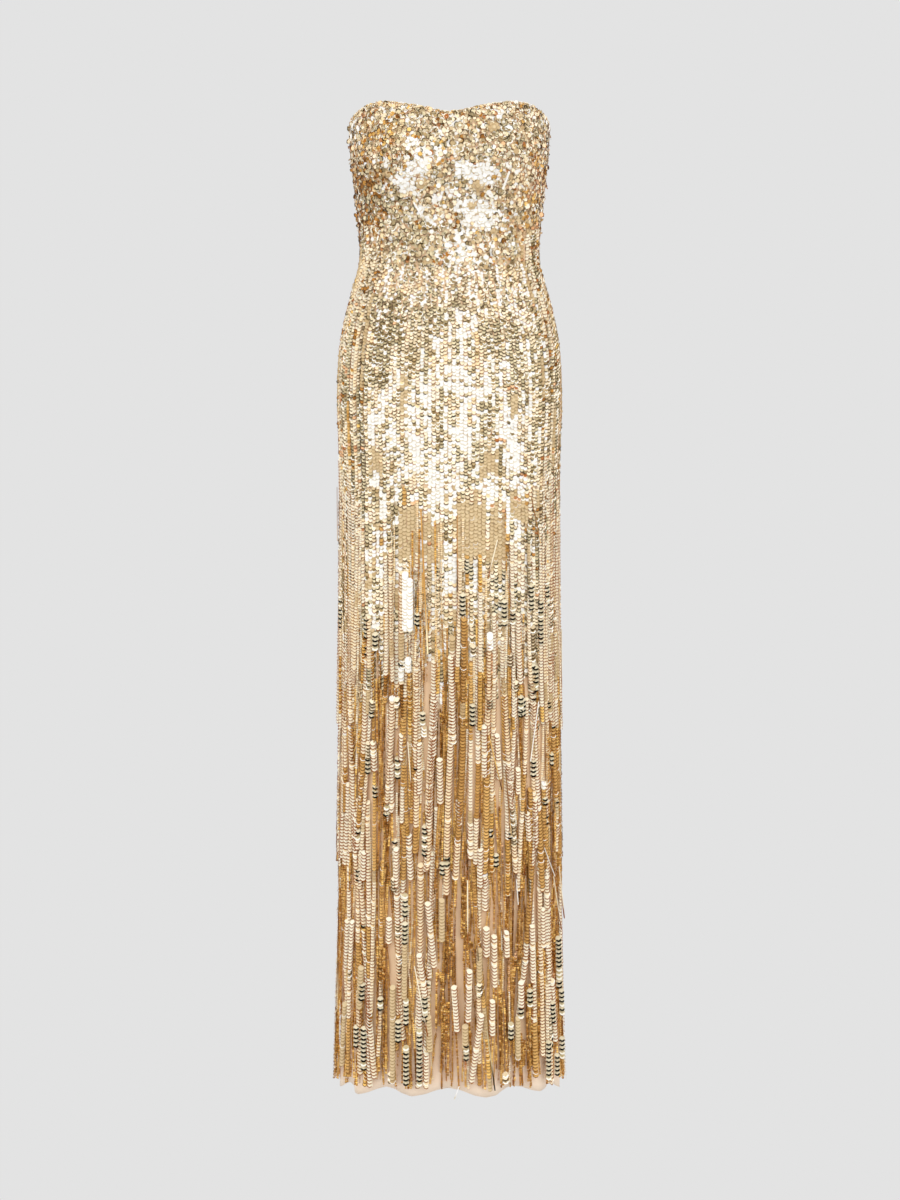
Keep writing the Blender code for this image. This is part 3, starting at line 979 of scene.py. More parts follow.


# x, z of the middle, width and height on the front, in millimetres, the film and how much of it is set:
# first the hip's, from the underbust down, then the skirt's. The white patches are painted highlights, and
# those of the shaded champagne and the shade-rimmed films painted shade.
PATCHES = tuple(
    Patch(*row)
    for row in (
        (-17, -299, 14, 34, WHITE), (22, -281, 30, 40, WHITE, 0.8), (16, -325, 8, 26, WHITE),
        (4, -336, 44, 34, WHITE, 0.55), (22, -362, 28, 42, WHITE, 0.85), (-92, -390, 9, 44, WHITE),
        (-81, -374, 6, 46, WHITE, 0.9), (-50, -415, 20, 76, WHITE, 0.75), (-33, -371, 14, 34, WHITE),
        (-3, -370, 20, 15, WHITE), (19, -409, 12, 48, WHITE), (14, -437, 28, 34, WHITE, 0.8),
        (82, -422, 26, 36, WHITE, 0.95), (79, -393, 8, 26, WHITE), (46, -372, 20, 16, WHITE),
        (-82, -437, 16, 32, WHITE, 0.9), (88, -460, 30, 42, WHITE, 0.97), (93, -498, 24, 26, WHITE, 0.95),
        (111, -457, 3, 38, PEARL), (-19, -500, 20, 54, WHITE, 0.95), (-8, -485, 38, 94, WHITE, 0.6),
        (52, -518, 18, 48, WHITE, 0.9), (-44, -465, 22, 54, WHITE, 0.7), (-64, -475, 8, 28, WHITE),
        (-88, -530, 8, 16, WHITE), (-84, -501, 8, 14, WHITE), (-72, -513, 8, 18, WHITE),
        (-46, -516, 12, 14, WHITE), (76, -524, 9, 16, WHITE), (54, -474, 28, 36, SAND, 0.9),
        (-100, -466, 20, 30, SAND, 0.8), (89, -388, 10, 32, SAND), (-62, -385, 12, 60, SAND, 0.7),
        (-96, -330, 30, 60, OLIVE, 0.7, 0.45), (-82, -275, 44, 70, OLIVE, 0.6, 0.3),
        (-30, -270, 50, 36, OLIVE, 0.5), (70, -300, 50, 40, OLIVE, 0.5), (40, -440, 16, 60, OLIVE, 0.6),
        (0, -405, 60, 16, SMOKE, 0.15, 0.8),
        (-56, -562, 30, 70, SAND), (-22, -581, 26, 50, SAND, 0.9), (31, -560, 42, 76, SAND),
        (67, -572, 20, 82, SAND, 0.95), (95, -531, 26, 32, SAND), (-76, -567, 15, 76, OLIVE, 0.8, 0.5),
        (22, -613, 22, 20, SMOKE, 0.7, 0.5), (73, -653, 38, 62, SMOKE, 0.4, 0.6),
        (128, -673, 14, 80, SMOKE, 0.5, 0.4), (-12, -633, 15, 56, SMOKE, 0.35, 0.7),
        (-54, -659, 12, 76, WHITE), (-92, -616, 7, 32, WHITE), (39, -617, 8, 36, WHITE),
        (-2, -583, 8, 18, WHITE), (2, -620, 14, 54, WHITE, 0.8), (-37, -583, 6, 18, WHITE),
        (94, -566, 12, 38, WHITE, 0.8), (110, -591, 12, 14, WHITE), (101, -618, 32, 34, PEARL, 0.8, 0.9),
        (-68, -619, 9, 18, WHITE), (-60, -743, 32, 88, PEARL, 0.8, 0.95), (-110, -744, 8, 72, PEARL, 1.0),
        (-146, -746, 14, 40, PEARL, 1.0, 0.9), (31, -723, 12, 14, WHITE), (116, -744, 20, 76, PEARL, 0.8),
        (124, -716, 12, 28, SMOKE, 0.7, 0.15), (120, -760, 12, 14, SMOKE, 0.7, 0.15),
    )
)

# x, z of the middle, width and height of the small rust ends under the white bars, in millimetres.
RUST_ENDS = (
    (-48, -525, 12, 4), (75, -536, 11, 4), (91, -518, 14, 4), (-21, -581, 27, 4), (58, -531, 5, 5),
    (10, -677, 5, 4), (49, -648, 7, 4), (86, -366, 12, 3), (-76, -277, 7, 3), (102, -486, 7, 4),
    (69, -439, 14, 4), (-143, -338, 5, 9), (-149, -453, 5, 12), (-150, -377, 5, 12),
)


@dataclass(frozen=True)
class Mixture:
    """How often each film comes up where no patch lies."""

    films: tuple[Film, ...]
    shares: tuple[float, ...]

    def pick(self, lot: Array) -> Array:
        """Turns lots from 0 to 1 into film numbers."""
        place = np.searchsorted(np.cumsum(self.shares) / sum(self.shares), lot)
        return np.array([film.index for film in self.films])[np.clip(place, 0, len(self.films) - 1)]


def flicker(middle: Array, spread: float, rng: Rng) -> Array:
    """Gives each disc its own tone, lighter or darker than the middle but seldom on it."""
    side = rng.choice([-1, 1], len(middle))
    return np.clip(middle + spread * side * rng.uniform(0.3, 1.3, len(middle)), 0, 1)


def as_front(points: Array) -> Array:
    """Gives each point the sideways place that sets its pattern, the back taking the mirrored front."""
    scale, shift = -0.94, 6 * MM  # so that the back isn't the front's exact mirror
    return np.where(points[:, 1] < FRONT_LIMIT, points[:, 0], points[:, 0] * scale + shift)


@dataclass
class ColumnField:
    """Sequins sewn in columns down the cloth, in runs of one film, with the listed patches on top."""

    name: str
    form: ClothForm
    top: float
    bottom: float
    ragged: float
    wide_mixture: Mixture
    fine_mixture: Mixture
    seed: int
    wide_pitch: float = 5.4 * MM
    wide_step: float = 4.7 * MM
    fine_pitch: float = 6.4 * MM
    fine_step: float = 4.5 * MM
    wide_radius: float = 0.62  # radius of a disc as a part of the pitch
    fine_radius: float = 0.56
    wide_lean: float = 9  # degrees by which a disc's lower edge stands out
    fine_lean: float = 20
    fine_slant: float = 38  # degrees by which the discs of a fine column lie aslant
    wide_loners: float = 0.36  # share of discs that don't follow their run
    fine_loners: float = 0.15
    white_cover: float = 0.86  # share of the discs in a white patch that are white
    seam_gap: float = 3 * MM  # bare width on each side of the centre-back seam
    side_rise: float = 0.0  # how much higher the fine columns start
    side_start: float = 0.148  # share of the girth where the fine side columns start
    side_end: float = 0.34
    run: float = 34 * MM
    lift: float = 1.1 * MM
    turned_lift: float = 4 * MM  # how much farther a fully turned disc would stand off the net
    scatter_end: float = 0.315  # depth below the origin where the loose scales near the waist end
    scatter_fade: float = 0.1  # height over which they come in
    # loners: white ones are painted highlights, and the shaded champagne and bronze shade ones painted
    # shade
    plain: Mixture = Mixture((CHAMPAGNE, WHITE, OLIVE, PEARL), (0.4, 0.2, 0.25, 0.15))
    specks: Mixture = Mixture((OLD_GOLD, BRONZE, RUST, OLIVE), (0.12, 0.3, 0.18, 0.4))

    def columns(self, rng: Rng) -> list[tuple[float, bool]]:
        """Lists the columns round the body.

        Args:
            rng: Source of the uneven border between wide and fine columns.

        Returns:
            Each column's share of the girth and whether it is a fine one.
        """
        girth = self.form.girth_at(HIP_LEVEL)
        found, share = [], -0.5 + self.seam_gap / girth
        while share < 0.5 - self.seam_gap / girth:
            fine = self.side_start < abs(share) + rng.normal(0, 0.008) < self.side_end
            found.append((share, fine))
            share += (self.fine_pitch if fine else self.wide_pitch) / girth
        return found

    def column(self, share: float, fine: bool, shift: float, rng: Rng, turn: float = SIDE_TURN) -> Stamps:
        """Lays one column.

        Args:
            share: The column's share of the girth.
            fine: Whether it is a fine side column.
            shift: Parts of a step by which it starts lower, so that neighbours interlock.
            rng: Source of its unevenness.
            turn: How far its discs turn near a side seam.

        Returns:
            Its sequins.
        """
        step, pitch = (self.fine_step, self.fine_pitch) if fine else (self.wide_step, self.wide_pitch)
        end = self.bottom + rng.uniform(-1, 1) * self.ragged
        start = self.top - (shift + rng.normal(0, 0.1)) * step
        if fine:
            start += self.side_rise * rng.uniform(0.3, 1)
        height = np.arange(start, end, -step)
        loose = np.clip((height + self.scatter_end) / self.scatter_fade, 0, 1)
        drift = 0.35 * MM * np.sin(height / (23 * MM) + rng.uniform(0, FULL_TURN))
        drift = drift + (0.3 + loose) * rng.normal(0, 1.0 * MM, len(height))
        girth = self.form.girth(height)
        clear = self.turned_lift * abs(math.sin(float(side_turn(share, turn))))
        lift = self.lift + clear + rng.uniform(0, 0.3 * MM)
        centre, down, face = line_down(self.form, share + drift / girth, height, lift, turn)
        full = self.form.girth_at(HIP_LEVEL)
        radius = pitch * (self.fine_radius if fine else self.wide_radius) * (girth / full) ** 0.8
        film, tone = self.films(centre, fine, rng)
        size = np.repeat(radius[:, None], 3, axis=1) * rng.uniform(0.93, 1.07, (len(height), 1))
        count = len(height)
        sequins = Stamps(centre, down, face, size, film, tone)
        if fine:
            slant = math.radians(self.fine_slant) * rng.choice([-1, 1], p=[0.3, 0.7])
            spun = sequins.spun(slant + wobble(rng, 6, count))
            flap = flaps(rng, 0.12, 12, 30, count)
            return spun.leaning(math.radians(self.fine_lean) + wobble(rng, 3, count) + flap)
        lean = math.radians(self.wide_lean) + wobble(rng, 4, count)
        spun = sequins.spun(wobble(rng, 20, count) * (1 + loose))
        return spun.leaning(lean).twisted(wobble(rng, 9, count) * (1 + loose))

    def films(self, centre: Array, fine: bool, rng: Rng) -> tuple[Array, Array]:
        """Chooses each sequin's film in runs, then lays the patches over them.

        Args:
            centre: Places of one column's sequins, from the top down.
            fine: Whether the column is a fine one.
            rng: Source of the choice.

        Returns:
            Film numbers and tones.
        """
        height = centre[:, 2]
        length = self.run * (rng.uniform(1.5, 4) if fine else rng.uniform(0.45, 1.8))
        runs = np.floor((height + rng.uniform(0, 1)) / length).astype(int)
        runs -= runs.min()
        lot = rng.uniform(0, 1, runs.max() + 1)[runs]
        shades = rng.uniform(0.35, 1, runs.max() + 1)
        mixture = self.fine_mixture if fine else self.wide_mixture
        single = rng.uniform(0, 1, len(height)) < (self.fine_loners if fine else self.wide_loners)
        loners = self.specks if fine else self.plain
        film = np.where(single, loners.pick(rng.uniform(0, 1, len(height))), mixture.pick(lot))
        tone = flicker(shades[runs], 0.28 if fine else 0.3, rng)
        x = as_front(centre) / MM
        z = height / MM + rng.normal(0, 5)
        for patch in PATCHES:
            inside = (np.abs(x - patch.x) < patch.wide / 2) & (np.abs(z - patch.z) < patch.high / 2)
            cover = self.white_cover if patch.film is WHITE else 1.0
            inside &= rng.uniform(0, 1, len(height)) < patch.share * cover
            film = np.where(inside, patch.film.index, film)
            tone = np.where(inside, flicker(np.full(len(height), patch.tone), 0.15, rng), tone)
        for middle, level, wide, high in RUST_ENDS:
            inside = (np.abs(x - middle) < wide / 2) & (np.abs(height / MM - level) < high / 2)
            film = np.where(inside, RUST.index, film)
        return film, tone

    def build(self) -> list[Piece]:
        """Builds the field as a front and a back piece.

        Returns:
            The two pieces.
        """
        rng = np.random.default_rng(self.seed)
        wide, fine = [], []
        for number, (share, is_fine) in enumerate(self.columns(rng)):
            (fine if is_fine else wide).append(self.column(share, is_fine, 0.5 * (number % 2), rng))
            if is_fine and abs(side_turn(share)) > 0.1:  # an unturned row hides the net between turned ones
                fine.append(self.column(share, True, 0.25, np.random.default_rng(self.seed + number), 0.0))
        discs = ((Template.flat_disc(8), wide), (Template.flat_disc(6), fine))
        return sewn_halves(self.name, [(template, Stamps.joined(found)) for template, found in discs])


@dataclass(frozen=True)
class Blot:
    """A soft round field on the bodice where one film gathers, in millimetres on the front.

    The white fields are painted highlights; the bronze shade and shaded champagne ones are painted shade.
    """

    x: float
    z: float
    reach: float
    film: Film
    share: float


BLOTS = tuple(
    Blot(*row)
    for row in (
        (-125, -85, 36, BRONZE, 0.6), (-120, -130, 32, BRONZE, 0.6), (-112, -170, 26, PEARL, 0.4),
        (-100, -110, 26, OLIVE, 0.4), (-45, -165, 34, OLIVE, 0.6), (-20, -185, 26, OLIVE, 0.5),
        (110, -60, 30, PEARL, 0.4), (128, -40, 20, RUST, 0.3), (120, -85, 20, RUST, 0.2),
        (112, -150, 32, SAND, 0.5), (112, -150, 26, RUST, 0.12), (125, -110, 26, OLD_GOLD, 0.15),
        (120, -85, 36, PEARL, 0.45), (-90, -40, 16, RUST, 0.15), (-122, 8, 12, RUST, 0.25),
        (-70, -8, 30, OLD_GOLD, 0.18), (-110, -20, 26, OLD_GOLD, 0.2), (-60, 5, 45, OLIVE, 0.16),
        (20, 0, 45, OLIVE, 0.18), (112, -6, 24, PEARL, 0.35), (10, -90, 6, RUST, 0.6),
        (2, -55, 5, RUST, 0.5), (34, -172, 5, RUST, 0.6), (-72, -46, 5, RUST, 0.6),
        (3, -138, 5, RUST, 0.4), (70, -30, 30, OLIVE, 0.35), (-72, -120, 22, OLIVE, 0.4),
        (100, -175, 24, OLIVE, 0.4), (-52, -36, 12, WHITE, 0.5), (-58, -82, 19, WHITE, 0.95),
        (-42, -60, 15, WHITE, 0.9), (-17, -46, 8, WHITE, 0.8), (20, -68, 15, WHITE, 0.9),
        (46, -74, 17, WHITE, 0.95), (122, -55, 13, TAN, 0.3), (119, -95, 14, TAN, 0.3),
        (115, -135, 14, TAN, 0.3), (113, -172, 12, TAN, 0.4), (119, -80, 22, RUST, 0.16),
        (-134, -30, 12, RUST, 0.3), (42, -127, 24, WHITE, 0.95), (24, -120, 16, WHITE, 0.8),
        (12, -157, 12, WHITE, 0.9), (17, -190, 24, WHITE, 0.75), (-16, -108, 7, WHITE, 0.9),
        (0, -97, 9, WHITE, 0.7), (-24, -138, 8, WHITE, 0.95), (-39, -123, 9, WHITE, 0.8),
        (75, 0, 14, WHITE, 0.4), (-85, 12, 12, WHITE, 0.4), (8, -8, 12, WHITE, 0.25),
        (-128, -10, 12, WHITE, 0.3),
    )
)


@dataclass
class BodiceSequins:
    """Cupped sequins of 4 to 8 mm, scattered close together over the bodice."""

    form: ClothForm
    pitch: float = 4.7 * MM
    row: float = 4.1 * MM
    radii: tuple[float, ...] = (2.2, 2.9, 3.5, 4.3)  # in millimetres
    radius_shares: tuple[float, ...] = (0.2, 0.38, 0.27, 0.15)
    white_radius: float = 3.5 * MM  # white ones, painted highlights, are at least this large, and lie flat
    rope_top: float = -140 * MM  # where the fine side columns start to take over
    rope_fade: float = 40 * MM
    rope_start: float = 0.155  # shares of the girth between which they lie
    rope_end: float = 0.34
    pull_end: float = -48 * MM  # the slider and the pull lie above this
    pull_gap: float = 6 * MM  # bare width on each side of them
    seam_gap: float = 2 * MM  # bare width on each side of the seam below them
    seed: int = 11
    # the white discs among these are painted highlights, the shaded champagne and bronze shade ones painted
    # shade
    mixture: Mixture = Mixture(
        (CHAMPAGNE, WHITE, PEARL, OLIVE, OLD_GOLD, RUST, SAND, BRONZE),
        (0.36, 0.11, 0.22, 0.17, 0.04, 0.02, 0.05, 0.03),
    )

    def build(self) -> list[Piece]:
        """Builds the scatter as a front and a back piece.

        Returns:
            The two pieces.
        """
        rng = np.random.default_rng(self.seed)
        rows = []
        for k, level in enumerate(np.arange(30 * MM, WAIST_BAND - 6 * MM, -self.row)):
            girth = self.form.girth_at(level)
            count = int(girth / self.pitch)
            share = -0.5 + (np.arange(count) + 0.5 * (k % 2)) / count
            share = share + rng.normal(0, 0.22, count) * self.pitch / girth
            height = level + rng.normal(0, 0.3, count) * self.row
            rows.append(np.stack([share, height], axis=1))
        share, height = np.concatenate(rows).T
        angle = self.form.angle_at(share, height)
        keep = height < self.form.edge(self.form.tops, angle) - 1.2 * MM
        keep &= height > WAIST_BAND - 3 * MM + 5 * MM * np.sin(angle * 9)
        clear = np.where(height > self.pull_end, self.pull_gap, self.seam_gap)
        seam = np.abs(self.form.point(angle, height)[:, 0]) < clear
        keep &= ~(seam & (np.abs(angle) > BACK_ANGLE))
        aside = np.abs(share)
        roped = (aside > self.rope_start) & (aside < self.rope_end) & (height < self.rope_top)
        keep &= ~(roped & (rng.uniform(0, 1, len(share)) < (self.rope_top - height) / self.rope_fade))
        share, height, angle = share[keep], height[keep], angle[keep]
        count = len(share)
        centre, down, face = self.form.seat(angle, height, 0.7 * MM + rng.uniform(0, 0.9 * MM, count))
        radius = rng.choice(self.radii, count, p=self.radius_shares) * MM
        film, tone = self.films(centre, rng)
        flat = film == WHITE.index
        radius = np.where(flat, np.maximum(radius, self.white_radius), radius)
        size = np.repeat(radius[:, None], 3, axis=1)
        sequins = Stamps(centre, down, face, size, film, tone)
        upright = wobble(rng, 22, count)
        sequins = sequins.spun(np.where(flat, upright, rng.uniform(-math.pi, math.pi, count)))
        calm = np.where(flat, 0.35, 1.0)
        flap = flaps(rng, 0.1, 20, 48, count)
        sequins.centre = centre + face * (0.7 * radius * np.sin(flap))[:, None]  # so that none cuts the net
        lean = rng.normal(math.radians(6), math.radians(9), count) * calm + flap * ~flat
        sequins = sequins.leaning(lean).twisted(wobble(rng, 9, count) * calm)
        return sewn_halves(
            "bodice_sequins",
            [(Template.cup(6, 0.15), sequins.chosen(~flat)), (Template.flat_disc(7), sequins.chosen(flat))],
        )

    def films(self, centre: Array, rng: Rng) -> tuple[Array, Array]:
        """Chooses films at random, then gathers some in the blots.

        Args:
            centre: Places of the sequins.
            rng: Source of the choice.

        Returns:
            Film numbers and tones.
        """
        count = len(centre)
        film = self.mixture.pick(rng.uniform(0, 1, count))
        tone = flicker(np.full(count, 0.54), 0.36, rng)
        x, z = as_front(centre) / MM, centre[:, 2] / MM
        for blot in BLOTS:
            near = np.exp(-(((x - blot.x) ** 2 + (z - blot.z) ** 2) / blot.reach**2) ** 1.5)
            inside = rng.uniform(0, 1, count) < near * blot.share
            film = np.where(inside, blot.film.index, film)
            tone = np.where(inside, np.clip(tone + 0.15, 0, 1), tone)
        return film, tone


@dataclass
class NetPanel:
    """One panel of nude net: a thin shell on its solid's form, with soft folds that deepen to the hem."""

    node: str
    form: ClothForm
    start: float
    end: float
    flat: tuple[float, float]
    area: float
    wall: float = 1.2 * MM
    seam: float = 2.5e-5  # angle left free along each seam
    turn: float = math.radians(2)  # angle from one column to the next
    fold_start: float = -0.8
    fold_depth: float = 1.6 * MM
    rows: int = 112

    def fold(self, angle: Array, height: Array) -> Array:
        """Gives the small secondary folds of the hanging net.

        Args:
            angle: Angles round the body.
            height: Heights, one for each angle.

        Returns:
            How far the cloth stands in or out there.
        """
        hang = np.clip((self.fold_start - height) / 0.5, 0, 1) ** 1.3
        wave = np.sin(angle * 23 + 1.5 * np.sin(angle * 3))
        wave = wave + 0.6 * np.sin(angle * 37 + 2 * np.sin(angle * 2))
        crease = 0.5 * MM * np.sin(angle * 14 + height * 9) * np.exp(-(((height + 0.2) / 0.05) ** 2))
        return self.fold_depth * hang * wave * 0.6 + crease

    def build(self, material: bpy.types.Material) -> Piece:
        """Builds the panel.

        Args:
            material: The net.

        Returns:
            The panel.
        """
        count = int(round((self.end - self.start) / self.turn)) + 1
        angles = np.linspace(self.start + self.seam, self.end - self.seam, count)
        top = self.form.edge(self.form.tops, angles)
        hem = self.form.edge(self.form.hems, angles)
        level = np.linspace(0, 1, self.rows)
        height = hem[:, None] + (top - hem)[:, None] * level[None]
        angle = np.broadcast_to(angles[:, None], height.shape)
        lift = self.fold(angle, height)
        outer = self.form.point(angle, height, lift)
        inner = self.form.point(angle, height, lift - self.wall)
        girth = self.form.girth(height)
        points = np.concatenate([outer.reshape(-1, 3), inner.reshape(-1, 3)])
        flat = np.stack([angle * girth / (2 * math.pi), height], axis=-1).reshape(-1, 2)
        mesh = bpy.data.meshes.new(f"net_{self.node}")
        mesh.from_pydata(points.tolist(), [], self.faces(count))
        mesh.shade_smooth()
        layer = mesh.uv_layers.new(name="cut")
        corner = np.zeros(len(mesh.loops), np.int32)
        mesh.loops.foreach_get("vertex_index", corner)
        layer.data.foreach_set("uv", flat[corner % len(flat)].astype(np.float32).ravel())
        mesh.materials.append(material)
        piece = placed(mesh)
        dress(piece, "sequinned_net", self.node)
        return piece

    def faces(self, count: int) -> list[tuple[int, int, int, int]]:
        """Lists the shell's faces.

        Args:
            count: Columns across the panel.

        Returns:
            Both walls and the four edges, facing out.
        """
        rows, half = self.rows, count * self.rows
        found = []
        for i in range(count - 1):
            for j in range(rows - 1):
                a, b = i * rows + j, (i + 1) * rows + j
                found.append((a, b, b + 1, a + 1))
                found.append((half + a, half + a + 1, half + b + 1, half + b))
        for i in range(count - 1):
            for j, low in ((0, True), (rows - 1, False)):
                a, b = i * rows + j, (i + 1) * rows + j
                found.append((a, half + a, half + b, b) if low else (a, b, half + b, half + a))
        for j in range(rows - 1):
            for i, first in ((0, True), (count - 1, False)):
                a, b = i * rows + j, i * rows + j + 1
                found.append((a, b, half + b, half + a) if first else (a, half + a, half + b, b))
        return found


@dataclass(frozen=True)
class StringKind:
    """How one kind of fringe string is threaded, in millimetres and degrees."""

    radius: float
    step: float
    lean: float
    twist: float
    jitter: float  # how much the twist varies from disc to disc
    out: float  # how far it hangs out from the others
    sides: int  # sides of its discs
    spread: float  # how far its discs flicker in tone
    grain: float  # how many discs it has for each one of a run's length


class Strand(Enum):
    """Kinds of fringe string."""

    PAILLETTE = StringKind(4.6, 4.4, 25, 8, 3, 1.4, 8, 0.1, 1.0)
    CHAIN = StringKind(3.6, 4.2, 25, 12, 5, 0.8, 7, 0.14, 1.2)
    FINE = StringKind(1.9, 2.9, 14, 25, 11, 0.0, 5, 0.27, 2.5)

    def hang(self, line: Line, film: Array, tone: Array, rng: Rng) -> Stamps:
        """Hangs one disc on each place of the line.

        Args:
            line: Centres, downward and outward directions.
            film: Film numbers.
            tone: Tones.
            rng: Source of the twist and lean.

        Returns:
            The discs.
        """
        centre, down, face = line
        kind, fine = self.value, self is Strand.FINE
        count = len(centre)
        size = np.full((count, 3), kind.radius * MM) * rng.uniform(0.94, 1.06)
        discs = Stamps(centre, down, face, size, film, tone)
        turn = np.cumsum(wobble(rng, kind.jitter, count)) if fine else 0.0
        slow = math.radians(kind.twist) * np.sin(np.arange(count) * 0.07 + rng.uniform(0, FULL_TURN))
        if not fine:  # the groups with painted dark rims hang straighter
            slant = math.radians(8 if film[0] == SMOKE.index else 32)
            discs = discs.spun(rng.uniform(-1, 1) * slant + wobble(rng, 4, count))
        turned = discs.twisted(slow + turn + wobble(rng, kind.jitter, count))
        return turned.leaning(math.radians(kind.lean) + wobble(rng, 4, count))


# Fewest and most discs of one film that follow each other on a string.
RUN_LENGTHS = {
    PEARL: (9, 34), CHAMPAGNE: (4, 12), SAND: (3, 9), SMOKE: (1, 5),
    WHITE: (1, 4), OLD_GOLD: (6, 20), BRONZE: (4, 14), RUST: (2, 6),
    OLIVE: (3, 8), TAN: (8, 26),
}

# What the strings are threaded with: pale above, warm below, and dark in the troughs of the folds, as
# painted shade. The white discs among them are painted highlights, the shade-rimmed and shaded champagne
# ones painted shade.
PALE = {
    Strand.PAILLETTE: Mixture((PEARL, SMOKE, SAND, CHAMPAGNE, WHITE), (0.54, 0.12, 0.1, 0.16, 0.08)),
    Strand.CHAIN: Mixture((PEARL, SAND, TAN, CHAMPAGNE, OLIVE), (0.66, 0.1, 0.03, 0.13, 0.08)),
    Strand.FINE: Mixture((PEARL, TAN, OLD_GOLD, CHAMPAGNE, RUST), (0.5, 0.08, 0.24, 0.13, 0.05)),
}
WARM = {
    Strand.PAILLETTE: Mixture(
        (PEARL, TAN, SAND, SMOKE, CHAMPAGNE, WHITE), (0.46, 0.18, 0.1, 0.14, 0.08, 0.04)
    ),
    Strand.CHAIN: Mixture((PEARL, TAN, SAND, OLD_GOLD, BRONZE), (0.4, 0.28, 0.12, 0.16, 0.04)),
    Strand.FINE: Mixture((OLD_GOLD, TAN, BRONZE, RUST, PEARL), (0.46, 0.24, 0.1, 0.08, 0.12)),
}
SHADE = Mixture((BRONZE, OLD_GOLD, TAN, RUST), (0.3, 0.4, 0.2, 0.1))


def side_turn(share: Array | float, most: float = SIDE_TURN) -> Array:
    """Gives how far discs near a side seam turn about their string, to face the front or the back.

    Args:
        share: Shares of the girth.
        most: The largest turn.

    Returns:
        Angles of the turn, none at the seam itself nor away from it.
    """
    wrapped = (np.asarray(share) + 0.5) % 1.0 - 0.5
    place = np.abs(wrapped)
    first, last = SIDE_SHARE - SIDE_REACH, SIDE_SHARE + SIDE_REACH
    near = np.clip((place - first) / SIDE_FADE, 0, 1) * np.clip((last - place) / SIDE_FADE, 0, 1)
    return -np.sign(wrapped) * most * np.clip((SIDE_SHARE - place) / SIDE_FADE, -1, 1) * near


def line_down(
    form: ClothForm, share: Array, height: Array, lift: Array | float, most: float = SIDE_TURN
) -> Line:
    """Lays a line of places down the cloth.

    Args:
        form: The cloth.
        share: Shares of the girth, one for each place.
        height: Heights from the top down.
        lift: Distances from the cloth.
        most: How far discs near the side seams turn towards the front or the back.

    Returns:
        Centres, downward and outward directions.
    """
    angle = form.angle_at(share, height)
    centre = form.point(angle, height, lift)
    face = form.normal(angle, height)
    down = unit(np.gradient(centre, axis=0))
    face = unit(face - down * np.sum(face * down, axis=1, keepdims=True))
    turn = side_turn(share, most)[:, None]
    return centre, down, face * np.cos(turn) + np.cross(face, down) * np.sin(turn)


